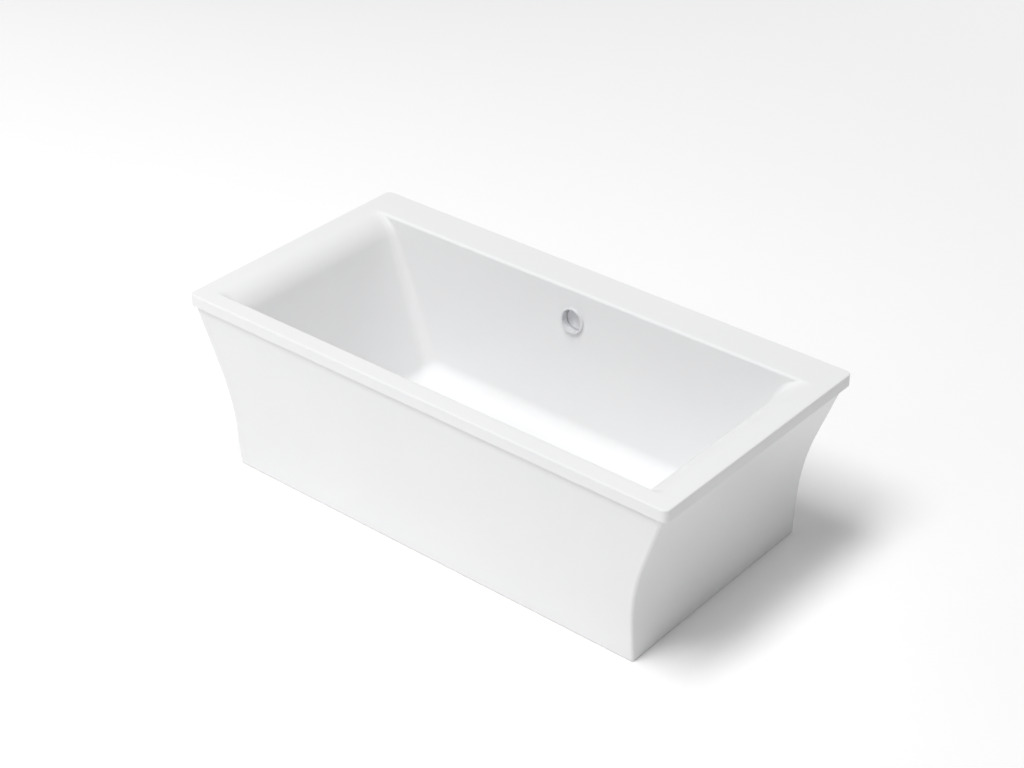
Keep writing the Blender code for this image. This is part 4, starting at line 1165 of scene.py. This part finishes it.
def make_stopper(place):
    """The fixed post, and the cap with its seal, which a touch of the toe lets up or down."""
    post = [
        (0.0, POST_BOTTOM),
        (POST_R, POST_BOTTOM),
        (POST_R, HUB_TOP + GAP),
        (HUB_R, HUB_TOP + GAP),
        (HUB_R, POST_COLLAR),
        (POST_NECK, POST_COLLAR),
        (POST_NECK, CAP_UNDER - CAP_CLEAR),
        (0.0, CAP_UNDER - CAP_CLEAR),
    ]
    stand_for(turned("stopper_post_turned", soften(post, 0.0004), BRASS, place), "stopper_post")

    crown, edge, rings = 0.0012, 0.0014, 12
    flat, shoulder = CAP_R - edge, CAP_TOP - crown
    cap = [(flat * k / rings, CAP_TOP - crown * (k / rings) ** 2) for k in range(rings + 1)]
    for a in spread(0.0, math.pi / 2, 7)[1:]:
        cap.append((flat + edge * math.sin(a), shoulder - edge * (1 - math.cos(a))))
    cap += [
        (CAP_R, CAP_UNDER + 0.0008),
        (CAP_R - 0.0008, CAP_UNDER),
        (CAP_SLEEVE_OUT, CAP_UNDER),
        (CAP_SLEEVE_OUT, CAP_SLEEVE_LOW),
        (CAP_SLEEVE_IN, CAP_SLEEVE_LOW),
        (CAP_SLEEVE_IN, CAP_UNDER),
        (0.0, CAP_UNDER),
    ]
    stand_for(turned("stopper_cap_polished", cap, CHROME, place, FINE), "stopper_cap")

    seal = [
        (SEAL_OUTER, SEAL_LOW + 0.0008),
        (SEAL_OUTER, CAP_UNDER - GAP),
        (SEAL_INNER, CAP_UNDER - GAP),
        (SEAL_INNER, SEAL_LOW),
        (SEAL_OUTER - 0.0015, SEAL_LOW),
    ]
    stand_for(turned("stopper_seal_moulded", soften(seal, 0.0006), RUBBER, place, FINE), "stopper_seal")


def make_spring():
    """The toe-touch cartridge's coil. It stretches between the bath and the stopper."""
    per_turn, sides = 36, 10
    low, high = POST_COLLAR + SPRING_WIRE + GAP, CAP_UNDER - SPRING_WIRE - GAP
    count = SPRING_TURNS * per_turn
    loops = []
    for k in range(count + 1):
        a = math.tau * k / per_turn
        outwards = Vector((math.cos(a), math.sin(a), 0.0))
        middle = DRAIN + (low + (high - low) * k / count) * Z_AXIS + SPRING_R * outwards
        ring = []
        for s in range(sides):
            b = math.tau * s / sides
            ring.append(middle + SPRING_WIRE * (math.cos(b) * outwards + math.sin(b) * Z_AXIS))
        loops.append(ring)
    coil = loft("stopper_spring_coil", loops, [SPRING], ring=False)
    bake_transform(coil)
    dress(coil, "stopper_spring")


# ---------------------------------------------------------------- stage
def direction(azimuth, elevation):
    """From the bath towards a camera or a light. Azimuth 0 is at -Y and 90 at +X, in degrees."""
    azimuth, elevation = math.radians(azimuth), math.radians(elevation)
    level = math.cos(elevation)
    return Vector((level * math.sin(azimuth), -level * math.cos(azimuth), math.sin(elevation)))


def look_along(name, data, place, outwards):
    made = bpy.data.objects.new(name, data)
    made.location = place
    made.rotation_mode = "QUATERNION"
    made.rotation_quaternion = (-outwards).to_track_quat("-Z", "Y")
    bpy.context.scene.collection.objects.link(made)
    return made


def make_camera():
    camera = bpy.data.cameras.new("camera")
    camera.lens, camera.sensor_width = CAMERA_LENS, CAMERA_SENSOR
    outwards = direction(CAMERA_AZIMUTH, CAMERA_ELEVATION)
    bpy.context.scene.camera = look_along("camera", camera, CAMERA_PLACE, outwards)


def make_light(name, azimuth, elevation, distance, size, watts, glints=False):
    """A round soft light aimed at the bath. One without glints leaves no highlight of its own."""
    light = bpy.data.lights.new(name, "AREA")
    light.shape, light.size, light.energy = "DISK", size, watts
    outwards = direction(azimuth, elevation)
    made = look_along(name, light, HEIGHT / 2 * Z_AXIS + distance * outwards, outwards)
    made.visible_glossy = glints


def make_stage():
    """A plain pale floor, an even sky, a small key overhead, and large soft lights all round."""
    bm = bmesh.new()
    bmesh.ops.create_grid(bm, x_segments=1, y_segments=1, size=STUDIO_HALF)
    glow = {"Emission_Color": (1.0, 1.0, 1.0, 1.0), "Emission_Strength": 0.06}
    paint = Finish("pale_floor", Roughness=1.0, Specular_IOR_Level=0.0, **glow)
    cloud = paint.noise(0.4, 1.0)
    paint.set("Base Color", paint.between(cloud, (0.945, 0.945, 0.945), (0.950, 0.950, 0.950)))
    to_object("studio_floor", bm, [paint.material])

    world = bpy.data.worlds.new("studio")
    world.use_nodes = True
    sky = world.node_tree.nodes["Background"]
    sky.inputs["Color"].default_value = (1.0, 1.0, 1.0, 1.0)
    sky.inputs["Strength"].default_value = 0.20
    bpy.context.scene.world = world
    make_light("key", 340.0, 80.0, 12.0, 3.0, 420.0)
    make_light("front_high", 355.0, 65.0, 12.0, 4.4, 645.0)
    make_light("front", 0.0, 45.0, 12.0, 8.0, 150.0, glints=True)
    make_light("front_left", 315.0, 20.0, 4.0, 2.6, 11.0)
    make_light("left", 270.0, 20.0, 6.0, 4.0, 24.0)
    make_light("back", 180.0, 20.0, 9.0, 6.0, 130.0)
    make_light("right", 80.0, 8.0, 6.0, 4.0, 5.0)
    bpy.context.scene.view_settings.view_transform = "Standard"


# ---------------------------------------------------------------- the bath
make_basin()
make_shroud()
make_rim_supports()
make_board()
for side in SIDES:
    make_bearer(side)
    for end in ENDS:
        make_screw(side, end)
        make_foot(side, end)
        if side != "centre":
            make_bracket(side, end)
make_overflow()
make_waste()
make_drain()
make_stage()
make_camera()
